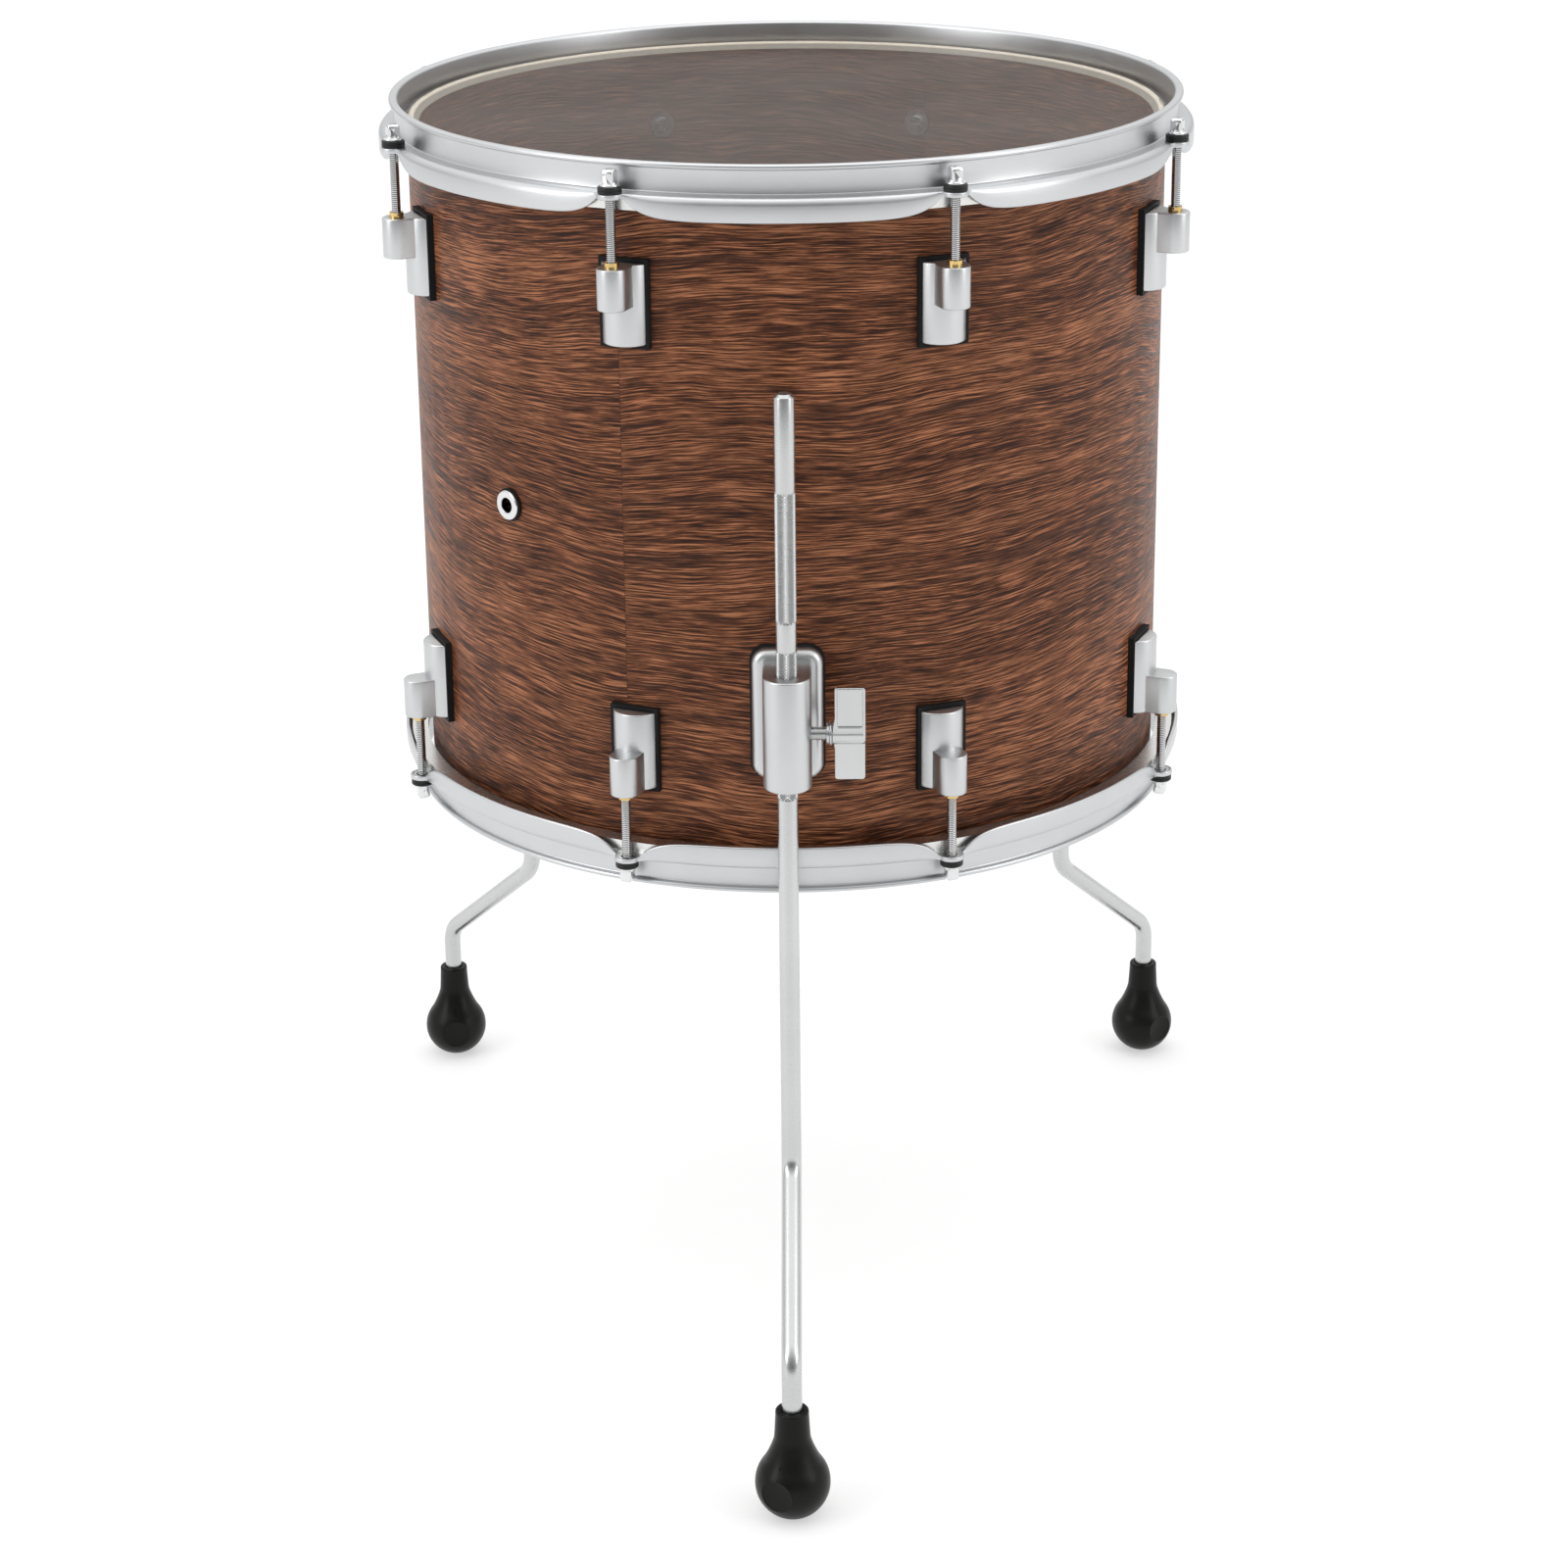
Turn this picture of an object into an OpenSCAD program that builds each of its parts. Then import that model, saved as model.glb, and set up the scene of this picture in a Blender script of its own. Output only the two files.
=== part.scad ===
// Floor tom: a wooden shell with a clear head at each end, on three bent legs.
// Frame: the shell's axis is Z, the floor is z = 0, and the front leg stands towards -Y.
// Sizes are in millimetres. An azimuth of 0 is the front, and it grows towards +X.

/* [Shell] */
// Outside diameter of the wooden shell
shell_od = 404; // [390:1:430]
// Length of the shell between its two bearing edges
shell_depth = 356; // [320:1:400]
// Thickness of the shell's plies together
shell_wall = 6.5; // [5.5:0.5:8]
// Height of the lower bearing edge above the floor
lower_edge = 307.5; // [290:0.5:340]

/* [Heads and hoops] */
// Thickness of the clear head film
film_t = 0.3; // [0.2:0.05:0.5]
// Thickness of the pressed steel hoop
hoop_t = 2; // [1.6:0.1:2.2]
// Height of the hoop's rim above the bearing edge
rim_rise = 10.5; // [9:0.5:13]
// Depth of the hoop's skirt below the bearing edge
skirt_drop = 16.8; // [15:0.2:19]
// Depth of the hoop's flat flange below the bearing edge
flange_drop = 4.5; // [4:0.1:5]

/* [Tension rods] */
// Thread diameter of a tension rod
rod_d = 5; // [4.8:0.1:5.5]
// Length of a tension rod under its head
rod_length = 54; // [50:1:56]
// Diameter of the black washer under a rod's head
washer_d = 12; // [11:0.5:12.5]
// Thickness of the black washer
washer_t = 3.5; // [2.5:0.1:4]

/* [Lugs] */
// Distance from the bearing edge to the lug's end face
lug_drop = 41; // [38:1:46]
// Length of the lug casing
lug_length = 41; // [39:1:44]
// Length of the lug's rod housing
nose_length = 21; // [20:0.5:24]
// Half of the width of the rod housing
nose_r = 7.7; // [7.2:0.1:8.2]

/* [Legs] */
// Diameter of a leg rod
leg_d = 10.3; // [9.5:0.1:10.5]
// Height of the top of a leg
leg_top = 567.8; // [540:0.1:600]
// Height of the corner of the leg's upper bend
upper_bend = 153; // [140:1:165]
// Height of the corner of the leg's lower bend
lower_bend = 86; // [80:1:92]
// How far the foot stands outside the straight part of the leg
leg_reach = 83.2; // [70:0.2:95]
// Radius of a bend, on the rod's centre line
bend_r = 18; // [14:1:22]
// Diameter of the rubber foot's ball
foot_d = 38.6; // [36:0.2:41]
// Height of the rubber foot
foot_h = 60; // [56:1:62]

/* [Leg brackets] */
// Radius of the clamp's round body
clamp_r = 12.15; // [11.8:0.05:12.8]
// Diameter of the clamp's bore
clamp_bore = 11.4; // [11.3:0.1:11.8]
// Height of the wing screw's axis
wing_z = 393; // [385:1:400]
// Half of the span across the wing plates
wing_span = 25.6; // [23:0.2:26]

/* [Hidden] */
$fn = 96;

// Running clearance on a radius, and the gap that keeps still pieces just apart
run_gap = 0.05;
seat_gap = 0.02;

// Shell
shell_r = shell_od / 2;
shell_in = shell_r - shell_wall;
upper_edge = lower_edge + shell_depth;
middle_z = lower_edge + shell_depth / 2;
edge_round = 1.8;
edge_land = 1.2;

// Hoop, measured from the shell's radius and from the bearing edge
wall_in = shell_r + 4.3;
wall_out = wall_in + hoop_t;
skirt_out = shell_r + 14.9;
skirt_in = skirt_out - hoop_t;
rim_h = 2.8;
ease = 0.9;
rim_out = shell_r + 8.9;
flange_top = -flange_drop;
flange_low = flange_top - hoop_t;
ear_r = 6.4;
ear_hole = 6.4;
ear_flat = 8;
ear_ease = 0.05;
skirt_sweep = 20;
skirt_stub = 0.5;

// Flesh hoop and the film that it grips
flesh_in = shell_r + 2.9;
flesh_out = skirt_in - 1.4;
flesh_h = 6.6;
film_drop = 5.5;

// Tension rods and what they pass through
lug_count = 8;
lug_azimuths = [for (i = [0 : lug_count - 1]) (i + 0.5) * 360 / lug_count];
rod_r = shell_r + 15.3;
rod_seat = flange_top + washer_t + run_gap;
rod_flange_d = 9.8;
rod_flange_h = 1.1;
rod_cone_h = 1.5;
rod_square = 6.3;
rod_dome_h = 1.6;
rod_head_h = 8.2;
nut_d = 7.2;
nut_proud = 2.6;
nut_length = nut_proud + 18;
nut_slot_w = 1.2;
nut_slot_h = 1.4;

// Lug: positions inward are counted from the rod's axis
gasket_t = 3;
lug_back = rod_r - shell_r - gasket_t;
body_r = 12.4;
body_centre = lug_back + 4.5;
lug_gasket_w = 26.4;
lug_gasket_lap = 2;
lug_screw_d = 4;
lug_screw_drops = [4, 32];
lug_screw_tip = 6.3;
lug_head_d = 8;
lug_head_h = 2.4;
lug_washer_d = 14.5;
inner_washer_t = 1;
hole_slack = 0.6;

// Leg brackets: positions inward are counted from the leg's axis
leg_azimuths = [0, 135, -135];
leg_r = shell_r + 31.5;
leg_bore = 6;
plug_length = 12;
base_back = leg_r - shell_r - 2.2;
base_w = 36;
base_low = wing_z - 34;
base_high = base_low + 69.5;
base_corner = 8;
base_t = 4;
base_step = 2;
crown_t = 2.5;
clamp_low = wing_z - 28.2;
clamp_high = clamp_low + 58.7;
bracket_gasket_lap = 1;
bracket_screw_d = 5;
bracket_screw_rise = [-21, 23];
bracket_screw_tip = 15;
bracket_head_d = 9;
bracket_head_h = 3;
bracket_washer_d = 16;

// Wing screw: positions along it are counted from the leg's axis
screw_d = 7;
shoe_tip = leg_d / 2 + 0.3;
shoe_length = 2.9;
shoe_d = 6.8;
screw_tip = shoe_tip + shoe_length + 0.1;
hub_start = 22.1;
hub_length = 16.8;
hub_r = 5.4;
spring_washer_d = 10.6;
spring_washer_t = 1.5;
flat_washer_d = 11.8;
flat_washer_t = 1.1;
plate_start = 23.5;
plate_w = 15.3;
plate_t = 3;
plate_offset = 2.2;
panel_border = 1.6;
panel_depth = 0.7;

// Leg and foot
bend_angle = atan2(leg_reach, upper_bend - lower_bend);
bend_tangent = bend_r * tan(bend_angle / 2);
slope_length = norm([leg_reach, upper_bend - lower_bend]) - 2 * bend_tangent;
leg_end = 28;
leg_chamfer = 1.6;
bend_thinning = 0.1;
bend_lead = 2;
ball_centre = 20;
foot_flat_r = 6.3;
foot_neck_r = 9.6;
foot_collar_r = 8.6;
foot_neck_z = 44;
foot_flare_z = 33;

// Vent
vent_azimuth = -44.6;
vent_flange_d = 15.6;
vent_flange_t = 1.5;
vent_tube_d = 10;
vent_bore = 7.6;
vent_gasket_d = 17.4;
vent_gasket_t = 1.1;
vent_nut_d = 15;
vent_nut_t = 3;

// Places its children at an azimuth and a distance from the axis, with +Y pointing inward.
module at_azimuth(azimuth, distance) {
  rotate([0, 0, azimuth]) translate([0, -distance, 0]) children();
}

// Places its children on each lug's azimuth.
module at_lugs(distance) {
  for (azimuth = lug_azimuths) at_azimuth(azimuth, distance) children();
}

// Places its children, drawn for the upper bearing edge at z = 0, at the upper edge.
module at_batter_end() {
  translate([0, 0, upper_edge]) children();
}

// Places the same children at the lower edge, turned upside down.
module at_resonant_end() {
  translate([0, 0, lower_edge]) mirror([0, 0, 1]) children();
}

// Places its children at both ends.
module at_both_ends() {
  at_batter_end() children();
  at_resonant_end() children();
}

// Places its children at each leg's axis.
module at_legs() {
  for (azimuth = leg_azimuths) at_azimuth(azimuth, leg_r) children();
}

// A cylinder that runs inward along +Y from the depth start to the depth end.
module inward_cylinder(d, start, end) {
  translate([0, start, 0]) rotate([-90, 0, 0]) cylinder(d = d, h = end - start);
}

// A cylinder that runs along +X from start, with an optional bore.
module sideways_cylinder(d, start, length, bore = 0) {
  translate([start, 0, 0]) rotate([0, 90, 0]) difference() {
    cylinder(d = d, h = length);
    if (bore > 0) translate([0, 0, -1]) cylinder(d = bore, h = length + 2);
  }
}

// A rounded rectangle in the XZ plane, extruded inward from the depth start to the depth end.
module rounded_plate(width, low, high, corner, start, end) {
  translate([0, end, 0]) rotate([90, 0, 0]) linear_extrude(height = end - start) union() {
    translate([-width / 2, low + corner]) square([width, high - low - 2 * corner]);
    translate([-width / 2 + corner, low]) square([width - 2 * corner, high - low]);
    for (side = [-1, 1], z = [low + corner, high - corner])
      translate([side * (width / 2 - corner), z]) circle(r = corner);
  }
}

// What a piece that sits on the shell loses to it, for a piece at this distance from the axis.
module shell_space(distance, low, high) {
  translate([0, distance, low]) cylinder(r = shell_r + seat_gap, h = high - low, $fn = 720);
}

// The shell's section: a small round-over outside, a flat land and a 45 degree cut inside.
module shell_section() {
  inner_cut = shell_wall - edge_round - edge_land;
  polygon([
    [shell_in, lower_edge + inner_cut],
    [shell_in + inner_cut, lower_edge],
    [shell_r - edge_round, lower_edge],
    [shell_r, lower_edge + edge_round],
    [shell_r, upper_edge - edge_round],
    [shell_r - edge_round, upper_edge],
    [shell_in + inner_cut, upper_edge],
    [shell_in, upper_edge - inner_cut]
  ]);
}

module shell() {
  bolt_reach = shell_wall + 10;
  color("#5b3424") difference() {
    rotate_extrude($fn = 180) shell_section();
    at_both_ends() at_lugs(shell_r) for (drop = lug_screw_drops)
      translate([0, 0, -lug_drop - drop])
        inward_cylinder(lug_screw_d + hole_slack, -5, bolt_reach);
    at_azimuth(vent_azimuth, shell_r) translate([0, 0, middle_z])
      inward_cylinder(vent_tube_d + hole_slack, -5, bolt_reach);
    for (azimuth = leg_azimuths, rise = bracket_screw_rise)
      at_azimuth(azimuth, shell_r) translate([0, 0, wing_z + rise])
        inward_cylinder(bracket_screw_d + hole_slack, -5, bolt_reach);
  }
}

// The film's section: flat over the bearing edge, down outside it, and out into the flesh hoop.
module film_section() {
  fall = -flange_drop - film_drop;
  shoulder = shell_r - 0.6;
  polygon([
    [0, 0], [shoulder, 0],
    [flesh_in - 0.5 - film_t, fall + film_t + 3], [flesh_in - 0.5 - film_t, fall],
    [flesh_in + 3.6, fall], [flesh_in + 3.6, fall + film_t],
    [flesh_in - 0.5, fall + film_t], [flesh_in - 0.5, fall + film_t + 3],
    [shoulder + film_t, film_t], [0, film_t]
  ]);
}

module head_film() {
  color([0.75, 0.73, 0.7, 0.35]) rotate_extrude($fn = 180) film_section();
}

// The crimped channel that grips the film's edge.
module flesh_hoop() {
  fall = -flange_drop - film_drop;
  color("#c9c9c6") rotate_extrude($fn = 180) difference() {
    translate([flesh_in, flange_low - flesh_h]) square([flesh_out - flesh_in, flesh_h]);
    translate([flesh_in - 1, fall]) square([4.6, film_t]);
  }
}

// The hoop's section: turned-out rim, upright wall, flat flange and skirt, with eased corners.
module hoop_section() {
  rim_low = rim_rise - rim_h;
  polygon([
    [wall_in, flange_low],
    [wall_in, rim_rise - ease],
    [wall_in + ease, rim_rise],
    [rim_out - ease, rim_rise],
    [rim_out, rim_rise - ease],
    [rim_out, rim_low + ease],
    [rim_out - ease, rim_low],
    [wall_out, rim_low],
    [wall_out, flange_top],
    [skirt_in, flange_top],
    [skirt_out, flange_low],
    [skirt_out, -skirt_drop],
    [skirt_in, -skirt_drop],
    [skirt_in, flange_low]
  ]);
}

// The outline, in tangent and height, of what is cut from the skirt under an ear.
module skirt_gap_outline() {
  steps = 10;
  rise = flange_low - skirt_stub + skirt_drop;
  function sweep_z(u) = -skirt_drop + rise * (1 - u * u * (3 - 2 * u));
  right = [for (i = [0 : steps]) [ear_flat + skirt_sweep * i / steps, sweep_z(i / steps)]];
  left = [for (i = [steps : -1 : 0]) [-right[i][0], right[i][1]]];
  bottom = -skirt_drop - 2;
  polygon(concat(left, right, [[ear_flat + skirt_sweep, bottom], [-ear_flat - skirt_sweep, bottom]]));
}

module hoop() {
  ear_root = rod_r - skirt_in + 1;
  color("#c6c7c8") difference() {
    union() {
      difference() {
        rotate_extrude($fn = 180) hoop_section();
        at_lugs(rod_r) translate([0, ear_root, 0]) rotate([90, 0, 0])
          linear_extrude(height = ear_root + 8) skirt_gap_outline();
      }
      at_lugs(rod_r) translate([0, 0, flange_low + ear_ease]) {
        cylinder(r = ear_r, h = hoop_t - 2 * ear_ease);
        translate([-ear_flat, 0, 0])
          cube([2 * ear_flat, rod_r - wall_out - ease, hoop_t - 2 * ear_ease]);
      }
    }
    at_lugs(rod_r) translate([0, 0, flange_low - 1]) cylinder(d = ear_hole, h = hoop_t + 2);
  }
}

module rod_washers() {
  color("#151515") at_lugs(rod_r) translate([0, 0, flange_top]) difference() {
    cylinder(d = washer_d, h = washer_t);
    translate([0, 0, -1]) cylinder(d = rod_d + 0.7, h = washer_t + 2);
  }
}

// One tension rod: threaded shank, round flange, cone and a square drive head.
module tension_rod(index) {
  square_h = rod_head_h - rod_flange_h - rod_cone_h - rod_dome_h;
  color("#d8d9db") at_azimuth(lug_azimuths[index], rod_r) translate([0, 0, rod_seat]) {
    translate([0, 0, -rod_length]) cylinder(d = rod_d, h = rod_length);
    cylinder(d = rod_flange_d, h = rod_flange_h);
    translate([0, 0, rod_flange_h])
      cylinder(d1 = rod_flange_d - 1, d2 = rod_square, h = rod_cone_h);
    translate([0, 0, rod_flange_h + rod_cone_h]) intersection() {
      translate([-rod_square / 2, -rod_square / 2, 0])
        cube([rod_square, rod_square, square_h + rod_dome_h]);
      union() {
        cylinder(d = rod_square * 1.2, h = square_h);
        translate([0, 0, square_h])
          cylinder(d1 = rod_square * 1.2, d2 = rod_square * 0.6, h = rod_dome_h);
      }
    }
  }
}

// One lug casing, from its end face at z = 0 downward.
module lug_casing() {
  difference() {
    union() {
      intersection() {
        translate([0, body_centre, -lug_length]) cylinder(r = body_r, h = lug_length);
        translate([-body_r, lug_back - 20, -lug_length]) cube([2 * body_r, 20, lug_length]);
      }
      translate([0, 0, -nose_length]) cylinder(r = nose_r, h = nose_length);
      translate([-nose_r, 0, -nose_length]) cube([2 * nose_r, lug_back, nose_length]);
    }
    translate([0, 0, nut_proud - nut_length]) cylinder(d = nut_d + 2 * run_gap, h = nut_length);
    for (drop = lug_screw_drops) translate([0, 0, -drop])
      inward_cylinder(lug_screw_d + 2 * run_gap, lug_screw_tip - 0.5, lug_back + 5);
  }
}

module lug_casings() {
  color("#c3c5c8") at_lugs(rod_r) translate([0, 0, -lug_drop]) lug_casing();
}

module lug_gasket() {
  difference() {
    translate([-lug_gasket_w / 2, lug_back, -lug_length - lug_gasket_lap])
      cube([lug_gasket_w, gasket_t + 1, lug_length + 2 * lug_gasket_lap]);
    shell_space(rod_r, -lug_length - 10, 10);
    for (drop = lug_screw_drops) translate([0, 0, -drop])
      inward_cylinder(lug_screw_d + hole_slack, lug_back - 1, lug_back + 6);
  }
}

module lug_gaskets() {
  color("#141414") at_both_ends() at_lugs(rod_r) translate([0, 0, -lug_drop]) lug_gasket();
}

// A brass tube nut whose slotted end stands out of the lug.
module swivel_nut() {
  difference() {
    translate([0, 0, nut_proud - nut_length]) cylinder(d = nut_d, h = nut_length);
    translate([0, 0, nut_proud - nut_length - 1])
      cylinder(d = rod_d + 2 * run_gap, h = nut_length + 2);
    translate([-nut_d, -nut_slot_w / 2, nut_proud - nut_slot_h])
      cube([2 * nut_d, nut_slot_w, nut_slot_h + 1]);
  }
}

module swivel_nuts() {
  color("#c9a44c") at_both_ends() at_lugs(rod_r) translate([0, 0, -lug_drop]) swivel_nut();
}

// Depth, inward of an axis at this distance, at which a flat washer meets the round inner wall.
function inner_seat(distance, washer) =
  distance - sqrt(shell_in * shell_in - washer * washer / 4) + seat_gap;

// A washer that lies against the inside of the shell.
module inner_washer(distance, washer, screw) {
  seat = inner_seat(distance, washer);
  difference() {
    inward_cylinder(washer, seat, seat + inner_washer_t);
    inward_cylinder(screw + 0.5, seat - 1, seat + inner_washer_t + 1);
  }
}

// A pan head screw put in from inside the shell, on an inner washer.
module inner_screw(distance, washer, screw, tip, head_d, head_h) {
  head = inner_seat(distance, washer) + inner_washer_t;
  inward_cylinder(screw, tip, head + 0.5);
  difference() {
    inward_cylinder(head_d, head, head + head_h);
    for (turn = [0, 90]) rotate([0, turn, 0])
      translate([-head_d / 4, head + head_h - 1.2, -0.5]) cube([head_d / 2, 2, 1]);
  }
}

module lug_screws() {
  color("#b9babd") at_both_ends() at_lugs(rod_r) for (drop = lug_screw_drops)
    translate([0, 0, -lug_drop - drop])
      inner_screw(rod_r, lug_washer_d, lug_screw_d, lug_screw_tip, lug_head_d, lug_head_h);
}

module lug_screw_washers() {
  color("#c4c5c7") at_both_ends() at_lugs(rod_r) for (drop = lug_screw_drops)
    translate([0, 0, -lug_drop - drop]) inner_washer(rod_r, lug_washer_d, lug_screw_d);
}

// Places its children at the vent, with the shell's outer surface at y = 0.
module at_vent() {
  at_azimuth(vent_azimuth, shell_r) translate([0, 0, middle_z]) children();
}

module vent_grommet() {
  color("#cfd0d2") at_vent() difference() {
    union() {
      inward_cylinder(vent_flange_d, -vent_gasket_t - vent_flange_t, -vent_gasket_t);
      inward_cylinder(vent_tube_d, -vent_gasket_t - 0.5, shell_wall + vent_nut_t);
    }
    inward_cylinder(vent_bore, -10, shell_wall + 10);
  }
}

module vent_gasket() {
  color("#161616") at_vent() difference() {
    inward_cylinder(vent_gasket_d, -vent_gasket_t, 1);
    inward_cylinder(vent_tube_d + 0.2, -5, 5);
    shell_space(shell_r, -20, 20);
  }
}

module vent_nut() {
  seat = inner_seat(shell_r, vent_nut_d);
  color("#b5b6b8") at_vent() difference() {
    inward_cylinder(vent_nut_d, seat, seat + vent_nut_t);
    inward_cylinder(vent_tube_d + 2 * run_gap, seat - 1, seat + vent_nut_t + 1);
  }
}

// A leg bracket: stepped base, round clamp with the leg's bore, and the wing screw's hole.
module bracket(azimuth) {
  color("#c3c5c8") at_azimuth(azimuth, leg_r) difference() {
    union() {
      rounded_plate(base_w, base_low, base_high, base_corner, base_back - base_t, base_back);
      rounded_plate(base_w - 2 * base_step, base_low + base_step, base_high - base_step,
        base_corner - base_step, base_back - base_t - crown_t, base_back - base_t + 1);
      translate([0, 0, clamp_low]) cylinder(r = clamp_r, h = clamp_high - clamp_low);
      translate([-clamp_r, 0, clamp_low])
        cube([2 * clamp_r, base_back - base_t, clamp_high - clamp_low]);
    }
    translate([0, 0, base_low - 5]) cylinder(d = clamp_bore, h = base_high - base_low + 10);
    translate([0, 0, wing_z]) sideways_cylinder(screw_d + 2 * run_gap, 0, clamp_r + 5);
    for (rise = bracket_screw_rise) translate([0, 0, wing_z + rise])
      inward_cylinder(bracket_screw_d + 2 * run_gap, bracket_screw_tip - 0.5, base_back + 5);
  }
}

module bracket_gaskets() {
  lap = bracket_gasket_lap;
  color("#141414") at_legs() difference() {
    rounded_plate(base_w + 2 * lap, base_low - lap, base_high + lap, base_corner + lap,
      base_back, base_back + 5);
    shell_space(leg_r, base_low - 10, base_high + 10);
    for (rise = bracket_screw_rise) translate([0, 0, wing_z + rise])
      inward_cylinder(bracket_screw_d + hole_slack, base_back - 1, base_back + 8);
  }
}

module bracket_screws() {
  color("#b9babd") at_legs() for (rise = bracket_screw_rise) translate([0, 0, wing_z + rise])
    inner_screw(leg_r, bracket_washer_d, bracket_screw_d, bracket_screw_tip,
      bracket_head_d, bracket_head_h);
}

module bracket_screw_washers() {
  color("#c4c5c7") at_legs() for (rise = bracket_screw_rise) translate([0, 0, wing_z + rise])
    inner_washer(leg_r, bracket_washer_d, bracket_screw_d);
}

// The loose steel button that the wing screw presses against the leg.
module clamp_shoe(azimuth) {
  color("#9a9b9d") at_azimuth(azimuth, leg_r) translate([0, 0, wing_z])
    sideways_cylinder(shoe_d, shoe_tip, shoe_length);
}

// One wing plate with a sunk panel. It stands up from the hub, on the side given by facing.
module wing_plate() {
  difference() {
    translate([plate_start, -plate_offset - plate_t, 0]) cube([plate_w, plate_t, wing_span]);
    translate([plate_start + panel_border, -plate_offset - plate_t - 1, hub_r + 1.2])
      cube([plate_w - 2 * panel_border, 1 + panel_depth, wing_span - hub_r - 1.2 - panel_border]);
  }
}

module wing_screw(azimuth) {
  color("#c9cbce") at_azimuth(azimuth, leg_r) translate([0, 0, wing_z]) {
    sideways_cylinder(screw_d, screw_tip, hub_start + 1 - screw_tip);
    sideways_cylinder(2 * hub_r, hub_start, hub_length);
    wing_plate();
    rotate([180, 0, 0]) wing_plate();
  }
}

// The spring washer and the flat washer that lie against the wing's hub.
module wing_washers(azimuth) {
  bore = screw_d + 2 * run_gap;
  color("#d0d0cc") at_azimuth(azimuth, leg_r) translate([0, 0, wing_z]) {
    sideways_cylinder(flat_washer_d, hub_start - flat_washer_t, flat_washer_t, bore);
    sideways_cylinder(spring_washer_d, hub_start - flat_washer_t - spring_washer_t,
      spring_washer_t, bore);
  }
}

// The round plug in the top of a leg.
module leg_plug(azimuth) {
  color("#8f9092") at_azimuth(azimuth, leg_r) translate([0, 0, leg_top - plug_length])
    cylinder(d = leg_bore, h = plug_length);
}

// A bend of the rod in the plane that runs outward from the leg's axis.
// It starts at the origin heading down and turns outward. The rod is a little thinner in
// the bend, and each end of the bend reaches a short way into the straight rod.
module leg_bend() {
  translate([0, -bend_r, 0]) rotate([90, 0, 90]) rotate([0, 0, -bend_angle - bend_lead])
    rotate_extrude(angle = bend_angle + 2 * bend_lead) translate([bend_r, 0])
      circle(d = leg_d - bend_thinning);
}

module leg(azimuth) {
  corner_y = -bend_tangent * sin(bend_angle);
  corner_z = upper_bend - bend_tangent * cos(bend_angle);
  color("#cdced0") at_azimuth(azimuth, leg_r) difference() {
    union() {
      translate([0, 0, leg_top - leg_chamfer])
        cylinder(d1 = leg_d, d2 = leg_d - 2 * leg_chamfer, h = leg_chamfer);
      translate([0, 0, upper_bend + bend_tangent])
        cylinder(d = leg_d, h = leg_top - leg_chamfer - upper_bend - bend_tangent);
      translate([0, 0, upper_bend + bend_tangent]) leg_bend();
      translate([0, corner_y, corner_z]) rotate([180 - bend_angle, 0, 0])
        cylinder(d = leg_d, h = slope_length);
      translate([0, -leg_reach, lower_bend - bend_tangent]) rotate([180, 0, 0])
        leg_bend();
      translate([0, -leg_reach, leg_end])
        cylinder(d = leg_d, h = lower_bend - bend_tangent - leg_end);
    }
    translate([0, 0, leg_top - plug_length - run_gap])
      cylinder(d = leg_bore + 2 * run_gap, h = plug_length + 5);
  }
}

// The rubber foot: a ball cut flat where it stands, a waist and a collar round the rod.
module foot(azimuth) {
  flat_z = ball_centre - sqrt(foot_d * foot_d / 4 - foot_flat_r * foot_flat_r);
  color("#1b1b1c") at_azimuth(azimuth, leg_r + leg_reach) difference() {
    union() {
      intersection() {
        translate([0, 0, ball_centre - flat_z]) sphere(d = foot_d);
        cylinder(d = foot_d + 2, h = foot_d);
      }
      translate([0, 0, foot_flare_z - flat_z - 5])
        cylinder(r1 = foot_neck_r + 6, r2 = foot_neck_r, h = foot_neck_z - foot_flare_z + 5);
      translate([0, 0, foot_neck_z - flat_z - 0.5])
        cylinder(r1 = foot_neck_r, r2 = foot_collar_r, h = foot_h - foot_neck_z + flat_z + 0.5);
    }
    translate([0, 0, leg_end]) cylinder(d = leg_d + 2 * seat_gap, h = foot_h);
  }
}

shell();
at_batter_end() head_film();  // batter_film
at_batter_end() flesh_hoop();  // batter_flesh_hoop
at_resonant_end() head_film();  // resonant_film
at_resonant_end() flesh_hoop();  // resonant_flesh_hoop
at_batter_end() hoop();  // batter_hoop
at_resonant_end() hoop();  // resonant_hoop
at_batter_end() rod_washers();  // batter_rod_washers
at_resonant_end() rod_washers();  // resonant_rod_washers
at_batter_end() tension_rod(0);  // batter_rod_1
at_batter_end() tension_rod(1);  // batter_rod_2
at_batter_end() tension_rod(2);  // batter_rod_3
at_batter_end() tension_rod(3);  // batter_rod_4
at_batter_end() tension_rod(4);  // batter_rod_5
at_batter_end() tension_rod(5);  // batter_rod_6
at_batter_end() tension_rod(6);  // batter_rod_7
at_batter_end() tension_rod(7);  // batter_rod_8
at_resonant_end() tension_rod(0);  // resonant_rod_1
at_resonant_end() tension_rod(1);  // resonant_rod_2
at_resonant_end() tension_rod(2);  // resonant_rod_3
at_resonant_end() tension_rod(3);  // resonant_rod_4
at_resonant_end() tension_rod(4);  // resonant_rod_5
at_resonant_end() tension_rod(5);  // resonant_rod_6
at_resonant_end() tension_rod(6);  // resonant_rod_7
at_resonant_end() tension_rod(7);  // resonant_rod_8
at_batter_end() lug_casings();  // batter_lug_casings
at_resonant_end() lug_casings();  // resonant_lug_casings
lug_gaskets();
swivel_nuts();
lug_screws();
lug_screw_washers();
vent_grommet();
vent_gasket();
vent_nut();
bracket(leg_azimuths[0]);  // front_bracket
bracket(leg_azimuths[1]);  // right_bracket
bracket(leg_azimuths[2]);  // left_bracket
bracket_gaskets();
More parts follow.
